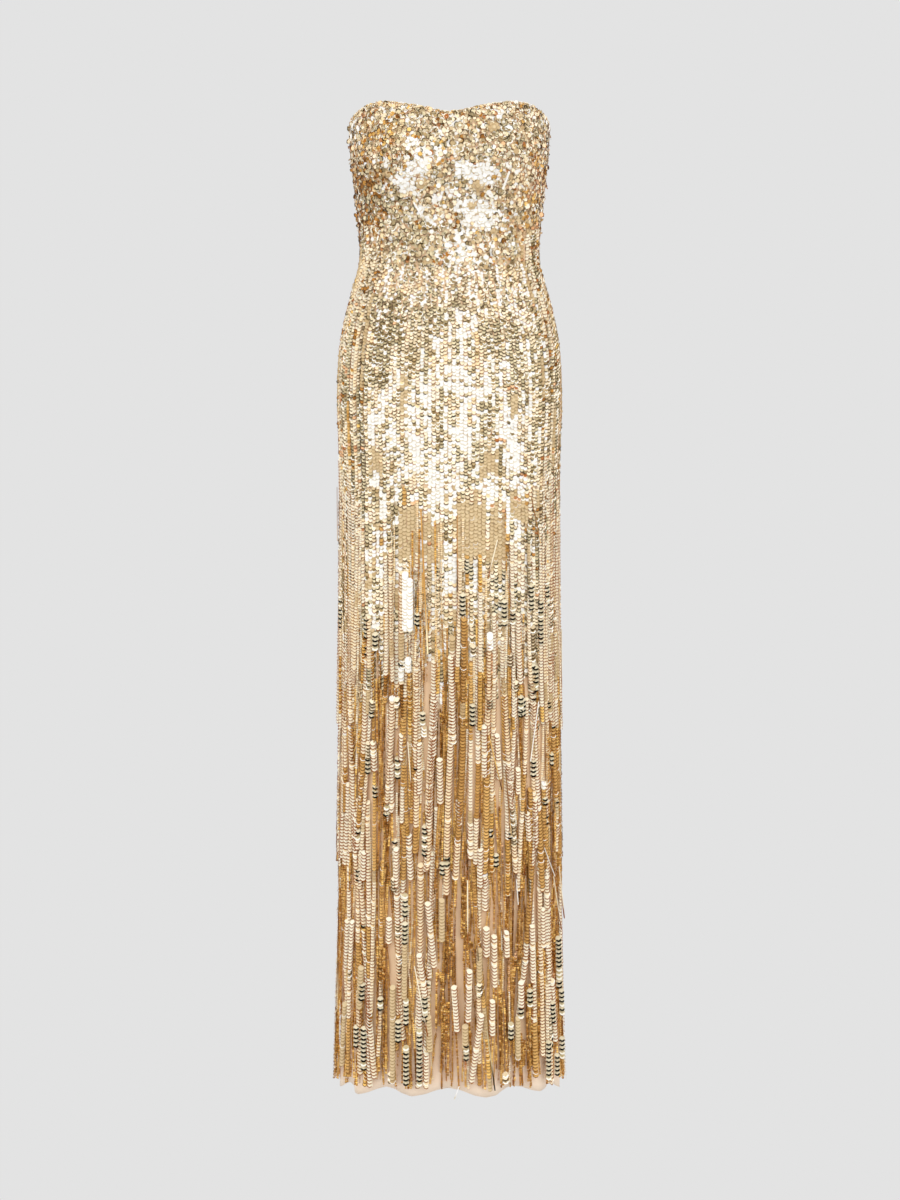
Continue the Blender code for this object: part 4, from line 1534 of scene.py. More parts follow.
@dataclass
class FringeTier:
    """One tier of fringe: strings of sequins sewn on at uneven heights about one line."""

    node: str
    form: ClothForm
    root: float
    length: float
    uneven: float
    pitch: float
    kinds: tuple[float, float, float, float]  # shares of paillette, chain, fine bunch and gap
    seed: int
    root_lift: float = 2.6 * MM
    tip_lift: float = 6 * MM
    sway: float = 7 * MM
    gather: float = 2 * MM  # how far strings slide towards the ridges of the hanging folds
    stagger: float = 60 * MM  # how far above and below the root line strings are sewn on
    front_gap: float = 0.0  # share of places left bare at centre front
    front_delay: float = 0.0  # how much lower, at the most, the strings at centre front are sewn on
    front_share: float = 0.15  # share of the girth on each side that counts as centre front
    middle_share: float = 0.07  # share of it on each side where fine bunches prevail
    short_share: float = 0.16  # share of strings that end early, by 10 to 70 mm
    warm_start: float = -590 * MM  # where the warm films start at centre front
    warm_delay: float = 110 * MM  # how much lower they start farther out
    warm_fade: float = 150 * MM

    def path(self, share: float, lift: float, step: float, rng: Rng) -> Line:
        """Lays out one string.

        Args:
            share: Where it is sewn on, as a share of the girth.
            lift: Extra distance from the cloth.
            step: Distance from one disc to the next.
            rng: Source of its sway.

        Returns:
            Centres, downward and outward directions of its discs.
        """
        short = rng.uniform(0, 1) < self.short_share
        drop = self.length - abs(rng.normal(0, 0.7)) * self.uneven - short * rng.uniform(10, 70) * MM
        drop = max(drop, self.stagger + self.front_delay + 30 * MM)
        start = rng.uniform(-1, 1) * self.stagger
        if abs(share) < self.front_share:
            start += rng.uniform(0.3, 1) * self.front_delay
        height = self.root - np.arange(start, drop, step)
        way = np.clip((self.root - height) / self.length, 0, 1)
        drift = np.clip(rng.normal(0, 1), -2, 2) * self.sway * way**1.4
        drift = drift + 2.2 * MM * np.sin(way * rng.uniform(3, 8) + rng.uniform(0, FULL_TURN)) * way
        angle = float(self.form.angle_at(np.array([share]), height[-1:])[0])
        slope = float(self.form.lobe(angle + 0.05) - self.form.lobe(angle - 0.05))
        drift = drift + self.gather * slope * way**1.6
        out = self.root_lift + (self.tip_lift - self.root_lift) * way**1.5 + lift
        return line_down(self.form, share + drift / self.form.girth(height), height, out)

    def string(self, kind: Strand, share: float, lift: float, rng: Rng) -> Stamps:
        """Threads one string of discs in runs of one film.

        Args:
            kind: What string it is.
            share: Where it is sewn on.
            lift: Extra distance from the cloth.
            rng: Source of its films, sway and twist.

        Returns:
            Its discs.
        """
        line = self.path(share, lift, kind.value.step * MM, rng)
        count = len(line[0])
        shaded = self.trough(share)
        film, tone = np.zeros(count, int), np.zeros(count)
        spot = 0
        while spot < count:
            mixture = (WARM if rng.uniform(0, 1) < self.warmth(share, line[0][spot, 2]) else PALE)[kind]
            # painted shade: fine strings in a fold's trough mostly take the dark films
            if kind is Strand.FINE and shaded and rng.uniform(0, 1) < 0.7:
                mixture = SHADE
            chosen = FILMS[int(mixture.pick(rng.uniform(0, 1)))]
            many = max(1, round(rng.integers(*RUN_LENGTHS[chosen]) * kind.value.grain))
            film[spot : spot + many] = chosen.index
            tone[spot : spot + many] = rng.uniform(0.18 if kind is Strand.FINE else 0.4, 1)
            spot += many
        discs = kind.hang(line, film, flicker(tone, kind.value.spread, rng), rng)
        # Discs of the shade-rimmed film, with painted dark rims, hang farther apart.
        return discs.chosen((film != SMOKE.index) | (np.arange(count) % 2 == 0))

    def warmth(self, share: float, height: float) -> float:
        """Returns how likely a run is of the warm films, which take over down the skirt."""
        start = self.warm_start - self.warm_delay * min(max((abs(share) - self.middle_share) / 0.08, 0), 1)
        return min(max((start - height) / self.warm_fade, 0), 1)

    def trough(self, share: float) -> bool:
        """Tells whether a string hangs in the trough between two folds near the hem."""
        angle = self.form.angle_at(np.array([share]), np.array([self.root - self.length]))
        return self.root < -700 * MM and float(self.form.lobe(angle)[0]) < -0.45

    def build(self) -> Piece:
        """Builds the tier as one piece.

        Returns:
            The tier, in place of its solid.
        """
        rng = np.random.default_rng(self.seed)
        girth = self.form.girth_at(self.root)
        count = int(girth / self.pitch)
        found: dict[Strand, list[Stamps]] = {kind: [] for kind in Strand}
        limits = np.cumsum(self.kinds) / sum(self.kinds)
        for k in range(count):
            share = -0.5 + (k + rng.uniform(0, 1)) / count
            if abs(share) < self.front_share and rng.uniform(0, 1) < self.front_gap:
                continue
            pick = int(np.searchsorted(limits, rng.uniform(0, 1)))
            middle = self.front_delay and abs(share) < self.middle_share
            if (middle or self.trough(share)) and rng.uniform(0, 1) < 0.65:
                pick = 2
            if pick < 2:
                kind = (Strand.PAILLETTE, Strand.CHAIN)[pick]
                found[kind].append(self.string(kind, share, kind.value.out * MM, rng))
            elif pick == 2:
                for offset in range(rng.integers(2, 4)):
                    place = share + (offset - 1) * 2.4 * MM / girth
                    lift = rng.uniform(-1.0, 0.8) * MM
                    found[Strand.FINE].append(self.string(Strand.FINE, place, lift, rng))
        parts = [(Template.flat_disc(kind.value.sides), Stamps.joined(found[kind])) for kind in Strand]
        piece = stamp(f"{self.node}_strings", parts)
        dress(piece, "fringe", self.node)
        return piece


def ends_of(*rows: Ends) -> tuple[Ends, ...]:
    """Completes rows of x and z of both ends of a string; where x stands once, it hangs straight down."""
    return tuple(row if len(row) == 4 else (row[0], row[1], row[0], row[2]) for row in rows)


# Strings that stand out one by one on the front, in millimetres.
CREAM_CHAINS = ends_of(
    (-134, -1103, -135, -1163), (-127, -1103, -129, -1163), (-143, -956, -1014),
    (-136, -956, -138, -1022), (-124, -954, -992), (-112, -1006, -113, -1041), (-78, -1096, -1129),
    (-28, -1074, -20, -1156), (-38, -1144, -31, -1195), (-53, -981, -50, -1039), (-69, -1000, -1047),
    (40, -1000, -1047), (46, -1041, -1082), (47, -1108, -1145), (57, -1119, -1185), (73, -1114, -1145),
    (25, -1166, 23, -1233), (40, -1226, 28, -1312), (54, -1207, -1251), (107, -1107, -1181),
    (122, -1085, -1134), (128, -1041, -1081), (133, -1185, 138, -1270), (92, -1184, -1215),
    (6, -1188, 10, -1247), (103, -952, 105, -989), (113, -930, 114, -992), (27, -965, -1010),
    (46, -832, -898), (2, -737, 5, -851), (-101, -855, -99, -891), (-40, -855, -921), (-21, -847, -870),
    (-63, -844, -876), (62, -844, 65, -902), (77, -887, 79, -921), (90, -891, -921), (-135, -914, -956),
    (-117, -898, -945), (-76, -885, -945), (12, -933, -962), (-13, -877, -12, -932),
)
# Groups of the shade-rimmed film, whose nearly black rims are painted shade.
DARK_GROUPS = ends_of(
    (-108, -876, -891), (-98, -915, -924), (-68, -876, -902), (-35, -814, -828), (-32, -969, -1006),
    (30, -803, -828), (53, -973, -981), (79, -976, -984), (111, -880, -899), (127, -932, -940),
    (136, -872, -881), (143, -937, -945), (-120, -1030, -1044), (-9, -1019, -1028), (-103, -811, -818),
    (97, -796, -811), (132, -798, -806), (-57, -1063, -1074), (-57, -1082, -1088), (-57, -1102, -1123),
    (-55, -1206, -1233), (-55, -1270, -1318), (-38, -1247, -1316), (-31, -1201, -1228),
    (-120, -1247, -1273), (-110, -1248, -1299), (143, -1129, -1195), (146, -1203, 147, -1233),
    (147, -1270, -1292), (128, -1269, -1316), (140, -1292, -1318), (21, -1266, -1282), (91, -1217, -1230),
    (72, -661, -688), (83, -670, -688), (121, -661, -716), (129, -633, 130, -661), (108, -639, -670),
    (114, -751, -779), (94, -792, -815), (17, -652, -674), (-65, -1236, -1262),
    (-112, -1188, -113, -1204), (78, -1240, -1256), (133, -1216, 134, -1240), (103, -1196, -1212),
    (-88, -1206, -1218), (60, -1008, -1020), (-42, -678, -692), (-110, -684, -706), (-146, -652, -692),
    (-98, -706, -724),
)
# The white bars are painted highlights.
WHITE_BARS = ends_of((-58, -623, -699), (-52, -632, -699), (-54, -740, -752), (53, -706, -722))
WHITE_GROUPS = ends_of(
    (80, -733, -746), (31, -722, -733), (87, -772, -780), (53, -795, -806), (-69, -795, -806),
    (-61, -740, -751), (-102, -798, -809), (-33, -833, -844), (-107, -855, -873), (-72, -1041, -1052),
    (38, -1184, -1195), (71, -1308, -1318), (-75, -1308, -1318),
)
SAND_LENGTHS = ends_of(
    (-72, -1189, -1316), (-57, -1126, -1203), (-114, -1165, -116, -1219), (-10, -1069, -1121),
    (87, -1233, -1288), (-27, -1228, -25, -1274), (-136, -1219, -140, -1301), (38, -1137, -1175),
    (20, -1241, -1266),
)
# Bunches of fine gold and bronze shade strings; the bronze ones are partly painted shade.
BRONZE_BUNCHES = ends_of(
    (-90, -1129, -1310), (-12, -1159, -13, -1251), (0, -1125, -1184), (25, -1125, -1163),
    (105, -1181, -1308), (122, -1136, 120, -1288), (87, -1147, -1181), (-113, -1103, -116, -1274),
    (66, -1185, 68, -1308), (94, -1254, 95, -1310), (-6, -1206, -8, -1308), (138, -1076, 140, -1178),
    (-21, -780, -1000), (-7, -800, -9, -1020), (-24, -1010, -22, -1160), (21, -1035, 19, -1125),
)
# Stiff threads: x and z of both ends, the radius and the film. The white ones are painted highlights;
# the shade-rimmed one is nearly black.
THREADS = (
    (47, -1247, 57, -1328, 0.9, SMOKE), (-44, -1158, -27, -1254, 0.8, PEARL),
    (23, -1041, 23, -1128, 0.9, PEARL), (117, -798, 106, -880, 0.8, WHITE),
    (10, -542, 10, -647, 0.6, BRONZE), (107, -516, 120, -581, 0.7, BRONZE),
    (62, -576, 50, -627, 0.8, PEARL), (-153, -500, -157, -575, 0.3, BRONZE),
    (152, -699, 156, -781, 0.6, PEARL), (86, -1041, 88, -1076, 0.7, WHITE),
    (144, -1028, 151, -1103, 0.7, PEARL), (12, -1322, 18, -1304, 0.7, WHITE),
    (73, -891, 80, -981, 0.7, BRONZE), (-54, -852, -49, -918, 0.7, PEARL),
    (51, -843, 68, -918, 0.7, OLD_GOLD), (124, -1000, 138, -1041, 0.7, WHITE),
    (-116, -836, -129, -880, 0.7, OLD_GOLD), (34, -1089, 36, -1151, 0.6, BRONZE),
    (136, -1041, 146, -1117, 0.7, PEARL), (-37, -533, -28, -732, 1.2, OLD_GOLD),
    (78, -70, 69, -94, 1.7, WHITE), (-46, -112, -33, -136, 1.2, WHITE),
)


@dataclass
class FrontStrings:
    """The strings that stand out one by one in the photograph, and their mirrored likes on the back."""

    form: ClothForm
    seed: int = 51
    lift: float = 5.5 * MM
    tip_lift: float = 4.5 * MM  # how much farther out the lowest strings hang
    tip_start: float = -950 * MM
    tip_fade: float = 250 * MM
    spacing: float = 2.4 * MM
    bunched: int = 5  # strings in a bunch

    def line(self, ends: Ends, step: float, back: bool, lift: float, aside: float = 0.0) -> Line:
        """Lays one given line.

        Args:
            ends: x and z of the upper and the lower end, in millimetres.
            step: Distance from one disc to the next.
            back: Whether it lies on the back.
            lift: Distance from the cloth.
            aside: Sideways distance from the given line.

        Returns:
            Centres, downward and outward directions.
        """
        x_top, z_top, x_low, z_low = (value * MM for value in ends[:4])
        height = np.arange(z_top, z_low - step / 2, -step)
        if len(height) < 2:
            height = np.array([z_top, z_top - step])
        way = (z_top - height) / (z_top - z_low)
        across = x_top + (x_low - x_top) * way + aside
        angle = np.array([self.form.angle_of(x, z) for x, z in zip(across, height)])
        angle = math.pi - angle if back else angle
        low = np.clip((self.tip_start - height) / self.tip_fade, 0, 1)
        centre = self.form.point(angle, height, lift + self.tip_lift * low)
        own, ahead = 0.45, 0.55  # discs keep to the cloth in part and in part to the front or back
        face = self.form.normal(angle, height) * own + np.array([0, ahead if back else -ahead, 0])
        down = unit(np.gradient(centre, axis=0))
        return centre, down, unit(face - down * np.sum(face * down, axis=1, keepdims=True))

    def chain(self, kind: Strand, film: Film, ends: Ends, back: bool, rng: Rng) -> Stamps:
        """Threads one listed chain of a single film.

        Args:
            kind: What string it is.
            film: Its film.
            ends: x and z of both ends.
            back: Whether it hangs on the back.
            rng: Source of its unevenness.

        Returns:
            Its discs.
        """
        spread = 1.35 if film is SMOKE else 1.0
        line = self.line(ends, kind.value.step * spread * MM, back, self.lift)
        count = len(line[0])
        tone = flicker(np.full(count, 0.6 if film is SMOKE else 0.9), 0.1, rng)
        discs = kind.hang(line, np.full(count, film.index), tone, rng)
        return discs.leaning(math.radians(-19)) if film is WHITE else discs  # the white bars lie flat

    def bunch(self, ends: Ends, back: bool, rng: Rng) -> list[Stamps]:
        """Gathers fine bronze and gold strings side by side; the bronze ones are partly painted shade.

        Args:
            ends: x and z of both ends.
            back: Whether it hangs on the back.
            rng: Source of its unevenness.

        Returns:
            The discs of each string.
        """
        found = []
        x_top, z_top, x_low, z_low = ends
        for number in range(self.bunched):
            aside = (number - self.bunched // 2) * self.spacing + rng.normal(0, 0.4 * MM)
            shifted = (
                x_top, z_top - rng.uniform(0, 12), x_low + rng.normal(0, 2), z_low + rng.uniform(0, 14)
            )
            lift = self.lift - 4 * MM + rng.uniform(0, 1) * MM
            line = self.line(shifted, Strand.FINE.value.step * MM, back, lift, aside)
            count = len(line[0])
            golden = rng.uniform(0, 1, count) < rng.uniform(0.3, 0.8)  # another share for each string
            film = np.where(golden, OLD_GOLD.index, BRONZE.index)
            tone = flicker(np.full(count, rng.uniform(0.35, 0.75)), 0.25, rng)
            found.append(Strand.FINE.hang(line, film, tone, rng))
        return found

    def thread(self, row: tuple, back: bool) -> Stamps:
        """Lays one stiff thread as a single rod.

        Args:
            row: x and z of both ends, the radius and the film.
            back: Whether it hangs on the back.

        Returns:
            The rod.
        """
        x_top, z_top, x_low, z_low, radius, film = row
        line = self.line((x_top, z_top, x_low, z_low), abs(z_top - z_low) * MM, back, self.lift + 1.5 * MM)
        first, last = line[0][0], line[0][-1]
        way = last - first
        length = float(np.linalg.norm(way))
        down = (way / length)[None]
        face = line[2][:1]
        face = unit(face - down * np.sum(face * down, axis=1, keepdims=True))
        size = np.array([[length / 2, radius * MM, radius * MM]])
        tone = np.array([0.05 if film is SMOKE else 0.85])  # the shade-rimmed thread is nearly black
        return Stamps((first + last)[None] / 2, down, face, size, np.array([film.index]), tone)

    def build(self) -> Piece:
        """Builds all the strings as one piece.

        Returns:
            The piece.
        """
        rng = np.random.default_rng(self.seed)
        wide, narrow, rods = [], [], []
        for back in (False, True):
            for rows, film in (
                (CREAM_CHAINS, PEARL), (DARK_GROUPS, SMOKE), (WHITE_GROUPS, CHAMPAGNE),
                (SAND_LENGTHS, SAND), (() if back else WHITE_BARS, WHITE),
            ):
                wide.extend(self.chain(Strand.PAILLETTE, film, ends, back, rng) for ends in rows)
            for ends in BRONZE_BUNCHES:
                narrow.extend(self.bunch(ends, back, rng))
            rods.extend(self.thread(row, back) for row in THREADS)
        piece = stamp(
            "fringe_front_strings",
            [
                (Template.flat_disc(8), Stamps.joined(wide)),
                (Template.flat_disc(5), Stamps.joined(narrow)),
                (Template.rod(5), Stamps.joined(rods)),
            ],
        )
        dress(piece, "fringe")
        return piece


@dataclass
class Trim:
    """Larger work on the bodice and its edge: beads along the top, and stones in rosettes of sequins.

    A row of edge beads has its count and, in millimetres, the radius, the drop below the edge and the
    distance from the cloth. A rosette has its x, its z and its radius in millimetres.
    """

    form: ClothForm
    seed: int = 31
    edge_rows: tuple[tuple[float, ...], ...] = ((250, 1.5, 0.2, -0.2), (230, 1.35, 2.6, 1.2))
    # the white beads among these are painted highlights
    mixture: Mixture = Mixture((CHAMPAGNE, PEARL, OLD_GOLD, RUST, WHITE), (0.35, 0.25, 0.2, 0.08, 0.12))
    zip_gap: float = 4.5 * MM  # bare width of the edge on each side of the slider
    petals: int = 8  # sequins round a stone
    tilt: float = 16  # degrees by which their outer rims lie lower
    rosettes: tuple[tuple[float, float, float], ...] = (
        (-38, -86, 8), (38, -90, 8), (60, -10, 8), (14, -8, 6), (-50, -4, 6), (-117, -6, 7),
        (-29, -110, 6), (29, -116, 6), (73, -2, 6), (-29, -190, 7), (-84, -73, 5), (90, -60, 5),
        (-58, -134, 6), (-1, -49, 4), (-99, 10, 6), (97, 9, 6), (118, -12, 6), (-75, -42, 5),
        (-20, -72, 5), (42, -42, 5), (69, -97, 5), (14, -131, 5), (97, -15, 5), (-60, -160, 5),
        (60, -150, 5), (-130, -60, 5), (110, -75, 5),
    )

    def build(self) -> list[Piece]:
        """Builds the edge beads and the rosettes with their stones."""
        rng = np.random.default_rng(self.seed)
        return [self.edge_beads(rng), self.stones(rng)]

    def edge_beads(self, rng: Rng) -> Piece:
        """Sews small round beads along the top edge.

        Args:
            rng: Source of their unevenness.

        Returns:
            The beads as one piece.
        """
        batches = []
        for row, (count, radius, drop, out) in enumerate(self.edge_rows):
            angle = -math.pi + 2 * math.pi * (np.arange(count) + 0.5 * row + 0.3) / count
            top = self.form.edge(self.form.tops, angle)
            height = top - drop * MM + rng.normal(0, 0.35 * MM, count)
            centre, down, face = self.form.seat(angle, height, out * MM)
            keep = ~((np.abs(centre[:, 0]) < self.zip_gap) & (np.abs(angle) > BACK_ANGLE))
            size = np.repeat(rng.uniform(0.85, 1.15, (count, 1)) * radius * MM, 3, axis=1)
            film = self.mixture.pick(rng.uniform(0, 1, count))
            batches.append(Stamps(centre, down, face, size, film, rng.uniform(0.3, 1, count)).chosen(keep))
        piece = stamp("neckline_beads", [(Template.bead(6, 3), Stamps.joined(batches))])
        dress(piece, "sequinned_net")
        return piece

    def stones(self, rng: Rng) -> Piece:
        """Sews the rosettes: a faceted stone in a ring of cupped sequins.

        Args:
            rng: Source of their unevenness.

        Returns:
            Stones and rings as one piece.
        """
        gems, rings = [], []
        for back in (False, True):
            for x, z, radius in self.rosettes:
                turn = self.form.angle_of(x * MM, z * MM)
                angle, height = np.array([math.pi - turn if back else turn]), np.array([z * MM])
                if float(self.form.edge(self.form.tops, angle)[0]) < height[0] + 4 * MM:
                    height = self.form.edge(self.form.tops, angle) - 7 * MM
                centre, down, face = self.form.seat(angle, height, 2.2 * MM)
                size = np.full((1, 3), radius * 0.5 * MM)
                film = np.array([rng.choice([kind.index for kind in (GLASS, SAND, CHAMPAGNE, PEARL)])])
                gems.append(Stamps(centre, down, face, size, film, np.array([rng.uniform(0.4, 1)])))
                rings.append(self.ring((centre, down, face), radius * MM, rng))
        piece = stamp(
            "bodice_rosettes",
            [(Template.stone(8), Stamps.joined(gems)), (Template.cup(6, 0.25), Stamps.joined(rings))],
        )
        dress(piece, "sequinned_net")
        return piece

    def ring(self, place: Line, radius: float, rng: Rng) -> Stamps:
        """Sets sequins in a ring round a stone.

        Args:
            place: Middle of the ring, with the downward and the outward direction there.
            radius: Radius of the ring.
            rng: Source of the tones.

        Returns:
            The ring's sequins.
        """
        centre, down, face = place
        count, reach, size = self.petals, 0.72 * radius, 0.42 * radius
        turn = 2 * math.pi * np.arange(count)[:, None] / count
        way = down * np.cos(turn) + np.cross(face, down) * np.sin(turn)
        film = np.full(count, (SAND if radius > 6.5 * MM else rng.choice([OLIVE, SAND, CHAMPAGNE])).index)
        ring = Stamps(
            centre + way * reach - face * 0.6 * MM, way, np.repeat(face, count, axis=0),
            np.full((count, 3), size), film, rng.uniform(0.2, 0.9, count),
        )
        return ring.leaning(math.radians(-self.tilt))


@dataclass
class ZipTape:
    """The concealed zip's tapes and closed coil, inside the centre-back seam."""

    form: ClothForm
    node: str = "zip_tape"
    half_width: float = 11 * MM
    inset: float = 2.5 * MM
    thickness: float = 0.5 * MM
    coil_radius: float = 1.0 * MM
    coil_pitch: float = 1.6 * MM

    def build(self, material: bpy.types.Material) -> Piece:
        """Builds the tapes and the coil as one piece.

        Args:
            material: The woven tape.

        Returns:
            The tapes and coil.
        """
        low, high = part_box(self.node)
        heights = np.linspace(low.z, high.z, 60)
        points, faces = [], []
        for side in (-1, 1):
            base = len(points)
            for height in heights:
                for across in (0.4 * MM, self.half_width):
                    for depth in (self.inset, self.inset + self.thickness):
                        points.append(self.spot(side * across, height, depth))
            for j in range(len(heights) - 1):
                a, b = base + 4 * j, base + 4 * (j + 1)
                for p, q in ((0, 2), (2, 3), (3, 1), (1, 0)):
                    quad = (a + p, a + q, b + q, b + p)
                    faces.append(quad if side < 0 else quad[::-1])
            last = base + 4 * (len(heights) - 1)
            ends = ((base, base + 1, base + 3, base + 2), (last, last + 2, last + 3, last + 1))
            faces.extend(ends if side < 0 else [e[::-1] for e in ends])
        self.add_coil(points, faces, low.z, high.z)
        mesh = bpy.data.meshes.new("zip_tape_woven")
        mesh.from_pydata(points, [], faces)
        mesh.materials.append(material)
        piece = placed(mesh)
        dress(piece, "zip_tape", self.node)
        return piece

    def spot(self, across: float, height: float, depth: float) -> tuple[float, float, float]:
        """Gives a point inside the centre-back seam.

        Args:
            across: Distance sideways from the seam.
            height: Height of the point.
            depth: Distance in from the outer face.

        Returns:
            The point.
        """
        radius = float(self.form.radius(np.array([math.pi]), np.array([height]))[0]) - depth
        drop = across**2 / (2 * radius)
        return across, radius - drop, height

    def add_coil(self, points: list, faces: list, low: float, high: float) -> None:
        """Adds the closed coil as a row of small links across the seam.

        Args:
            points: Points of the mesh, added to.
            faces: Faces of the mesh, added to.
            low: Height of the coil's lower end.
            high: Height of its upper end.
        """
        sides = 6
        for height in np.arange(low + 3 * MM, high - 3 * MM, self.coil_pitch):
            base = len(points)
            _, y, z = self.spot(0.0, float(height), self.inset + self.thickness + self.coil_radius)
            for across in (-2.2 * MM, 2.2 * MM):
                for i in range(sides):
                    turn = 2 * math.pi * i / sides
                    rise = self.coil_pitch * 0.42 * math.sin(turn)
                    points.append((across, y + self.coil_radius * 0.9 * math.cos(turn), z + rise))
            for i in range(sides):
                n = (i + 1) % sides
                faces.append((base + i, base + n, base + sides + n, base + sides + i))
            faces.append(tuple(base + i for i in reversed(range(sides))))
            faces.append(tuple(base + sides + i for i in range(sides)))


@dataclass
class Studio:
    """Pale floor, soft light from the front and the back, darker sides, and the camera."""

    backdrop: str = "#E3E3E3"
    front_light: float = 1.5
    back_light: float = 1.2
    side_light: float = 1.0
    floor_light: float = 0.62
    zenith_light: float = 0.75
    lamp: tuple[float, ...] = (1.0, 0.985, 0.96, 1.0)  # slightly warm
    floor_gap: float = 4 * MM
    floor_size: float = 14.0

    def build(self, low: Vector) -> None:
        """Sets up the studio.

        Args:
            low: Lowest corner of the gown.
        """
        self.floor(low.z - self.floor_gap)
        self.world()
        self.camera()
        view = bpy.context.scene.view_settings
        view.view_transform = "Standard"
        view.look = "None"

    def floor(self, height: float) -> None:
        """Lays the floor as a disc that glows like the backdrop, so that no edge shows.

        Args:
            height: Height of the floor.
        """
        material = bpy.data.materials.new("vinyl_backdrop_pale")
        material.use_nodes = True
        material.node_tree.nodes.clear()
        add = partial(add_node, material.node_tree)
        glow = add("Emission", None, {"Color": linear(self.backdrop), "Strength": 1.0})
        add("OutputMaterial", links={"Surface": glow.outputs[0]})
        bpy.ops.mesh.primitive_circle_add(
            vertices=96, radius=self.floor_size / 2, fill_type="NGON", location=(0, 0, height)
        )
        floor = bpy.context.object
        floor.name = "studio_floor"
        floor.data.materials.append(material)
        floor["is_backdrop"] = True

    def world(self) -> None:
        """Lights the gown from all round: bright in front and behind, dark at the sides."""
        world = bpy.data.worlds.new("studio_light")
        bpy.context.scene.world = world
        world.use_nodes = True
        world.node_tree.nodes.clear()
        add = partial(add_node, world.node_tree)
        way = add("TexCoord")
        axes = add("SeparateXYZ", links={0: way.outputs["Generated"]})
        away = add("Math", MULTIPLY, {1: -1.0}, {0: axes.outputs["Y"]})
        turn = add("Math", {"operation": "ARCTAN2"}, links={0: axes.outputs["X"], 1: away.outputs[0]})
        wide = add("Math", {"operation": "ABSOLUTE"}, links={0: turn.outputs[0]}).outputs[0]
        fades = (  # what is measured, where the change starts and ends, and the values before and after it
            (wide, math.radians(58), math.radians(98), self.front_light, self.side_light),
            (wide, math.radians(118), math.radians(146), 0.0, self.back_light - self.side_light),
            (axes.outputs["Z"], -0.42, -0.1, self.floor_light, 1.0),
            (axes.outputs["Z"], 0.5, 0.85, 1.0, self.zenith_light),
        )
        front, back, rise, zenith = (
            add(
                "MapRange", SOFT_STEP,
                {"From Min": start, "From Max": end, "To Min": before, "To Max": after},
                {"Value": measured},
            ).outputs[0]
            for measured, start, end, before, after in fades
        )
        light = add("Math", {"operation": "ADD"}, links={0: front, 1: back}).outputs[0]
        for factor in (rise, zenith):
            light = add("Math", MULTIPLY, links={0: light, 1: factor}).outputs[0]
        lit = add("Background", None, {"Color": self.lamp}, {"Strength": light})
        seen = add("Background", None, {"Color": linear(self.backdrop), "Strength": 1.0})
        path = add("LightPath")
        mixed = add(
            "MixShader", links={0: path.outputs["Is Camera Ray"], 1: lit.outputs[0], 2: seen.outputs[0]}
        )
        add("OutputWorld", links={"Surface": mixed.outputs[0]})

    def camera(self) -> None:
        """Sets the camera level in front of the gown, with the photograph's frame."""
        data = bpy.data.cameras.new("camera")
        data.sensor_fit = "AUTO"
        data.sensor_width = 36.0
        data.lens = data.sensor_width / 2 / (PHOTO_SPAN / 2 / CAMERA_DISTANCE)
        camera = bpy.data.objects.new("camera", data)
        bpy.context.scene.collection.objects.link(camera)
        camera.location = (CAMERA_SIDE, -CAMERA_DISTANCE, CAMERA_HEIGHT)
        camera.rotation_euler = (math.pi / 2, 0, 0)
        bpy.context.scene.camera = camera


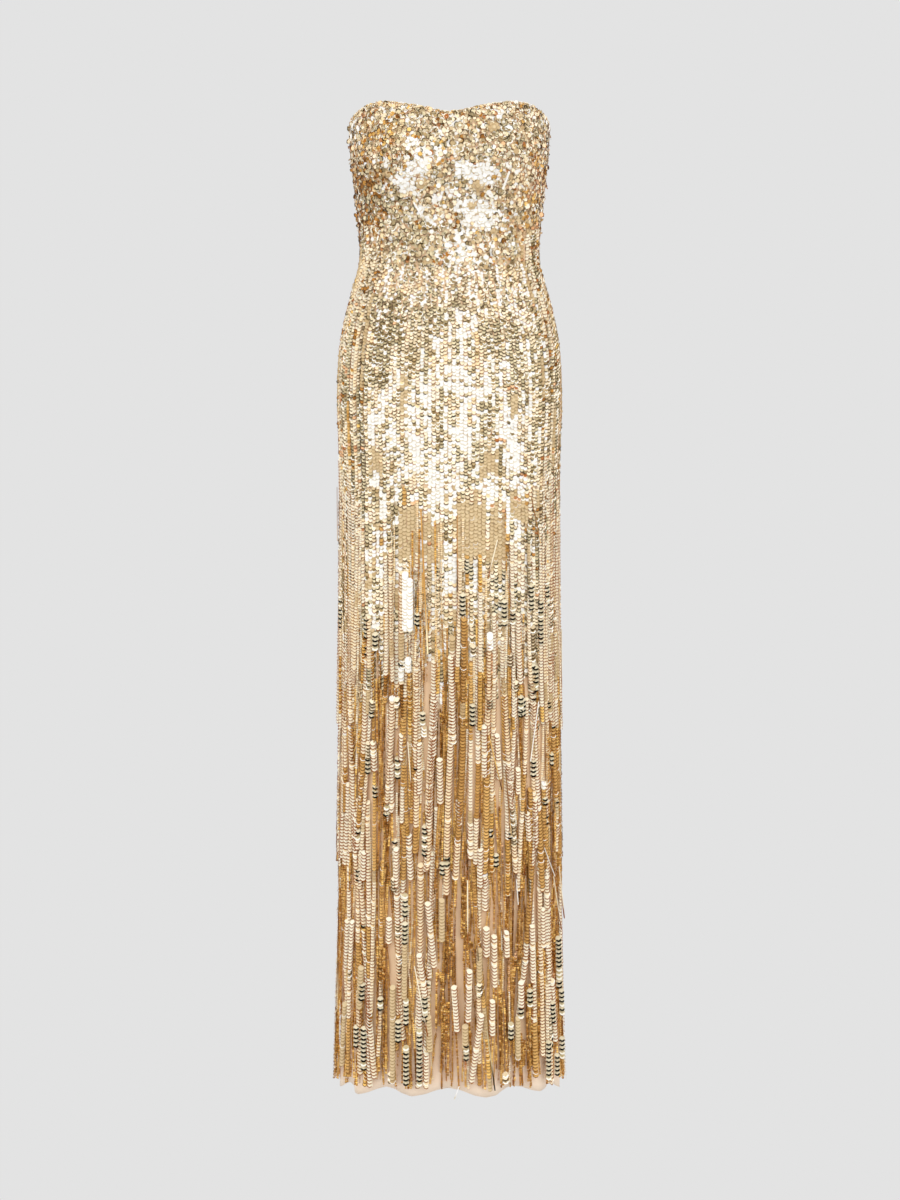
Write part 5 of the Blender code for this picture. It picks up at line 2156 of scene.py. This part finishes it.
def fringe_tiers(form: ClothForm) -> list[FringeTier]:
    """Lists the three tiers of fringe.

    Args:
        form: The cloth that they hang over.

    Returns:
        The tiers from the top down.
    """
    return [
        FringeTier(
            "fringe_upper", form, -512 * MM, 327 * MM, 110 * MM, 5.2 * MM, (0.14, 0.5, 0.36, 0.0), 41,
            front_gap=0.66, front_delay=170 * MM, sway=5 * MM,
        ),
        FringeTier(
            "fringe_middle", form, -738 * MM, 328 * MM, 120 * MM, 4.4 * MM, (0.17, 0.28, 0.5, 0.05), 42,
            sway=12 * MM,
        ),
        FringeTier(
            "fringe_lower", form, -968 * MM, 360 * MM, 14 * MM, 4.7 * MM, (0.17, 0.18, 0.4, 0.25), 43,
            tip_lift=7 * MM, sway=20 * MM, gather=7 * MM,
        ),
    ]


def main() -> None:
    """Builds the gown's looks piece by piece and sets up the studio."""
    logging.basicConfig(level=logging.INFO, format="%(message)s")
    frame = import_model()
    cad_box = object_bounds()
    FILM_MATERIALS.extend(film.value.material() for film in FILMS)
    form = ClothForm([frame["nodes"][name] for name in PANELS])
    LOG.info("cloth measured: girth at the hip %.3f m", form.girth_at(HIP_LEVEL))

    net = NylonNet().material()
    quarter, half = math.pi / 2, math.pi
    panels = [
        NetPanel("front", form, -quarter, quarter, (0.48, 1.38), 0.56),
        NetPanel("back_left", form, quarter, half, (0.25, 1.36), 0.29),
        NetPanel("back_right", form, -half, -quarter, (0.25, 1.36), 0.29),
    ]
    sheets = [panel.build(net) for panel in panels]

    sewn = BodiceSequins(form).build()
    # in these mixtures the white discs are painted highlights and the shaded champagne ones painted shade
    hip = Mixture((CHAMPAGNE, WHITE, OLIVE, PEARL), (0.42, 0.24, 0.2, 0.14))
    rope = Mixture((PEARL, CHAMPAGNE, SAND, OLIVE, TAN), (0.36, 0.3, 0.12, 0.19, 0.03))
    skirt = Mixture((CHAMPAGNE, PEARL, OLIVE, WHITE, SAND, TAN), (0.28, 0.24, 0.18, 0.1, 0.17, 0.03))
    sewn += ColumnField(
        "hip_sequins", form, WAIST_BAND, COLUMN_CHANGE, 6 * MM, hip, rope, 12, side_rise=62 * MM
    ).build()
    sewn += ColumnField(
        "skirt_sequins", form, COLUMN_CHANGE, SEWN_END, 60 * MM, skirt, rope, 13,
        wide_pitch=5.8 * MM, wide_step=5.1 * MM,
    ).build()
    for tier in fringe_tiers(form):
        sewn.append(tier.build())
    sewn.append(FrontStrings(form).build())
    sewn += Trim(form).build()
    ZipTape(form).build(WovenTape().material())
    metal = LacqueredBrass().material()
    for name in ("zip_slider", "zip_pull"):
        mesh = frame["nodes"][name].data
        mesh.materials.clear()
        mesh.materials.append(metal)

    Studio().build(cad_box[0])


if __name__ == "__main__":
    main()
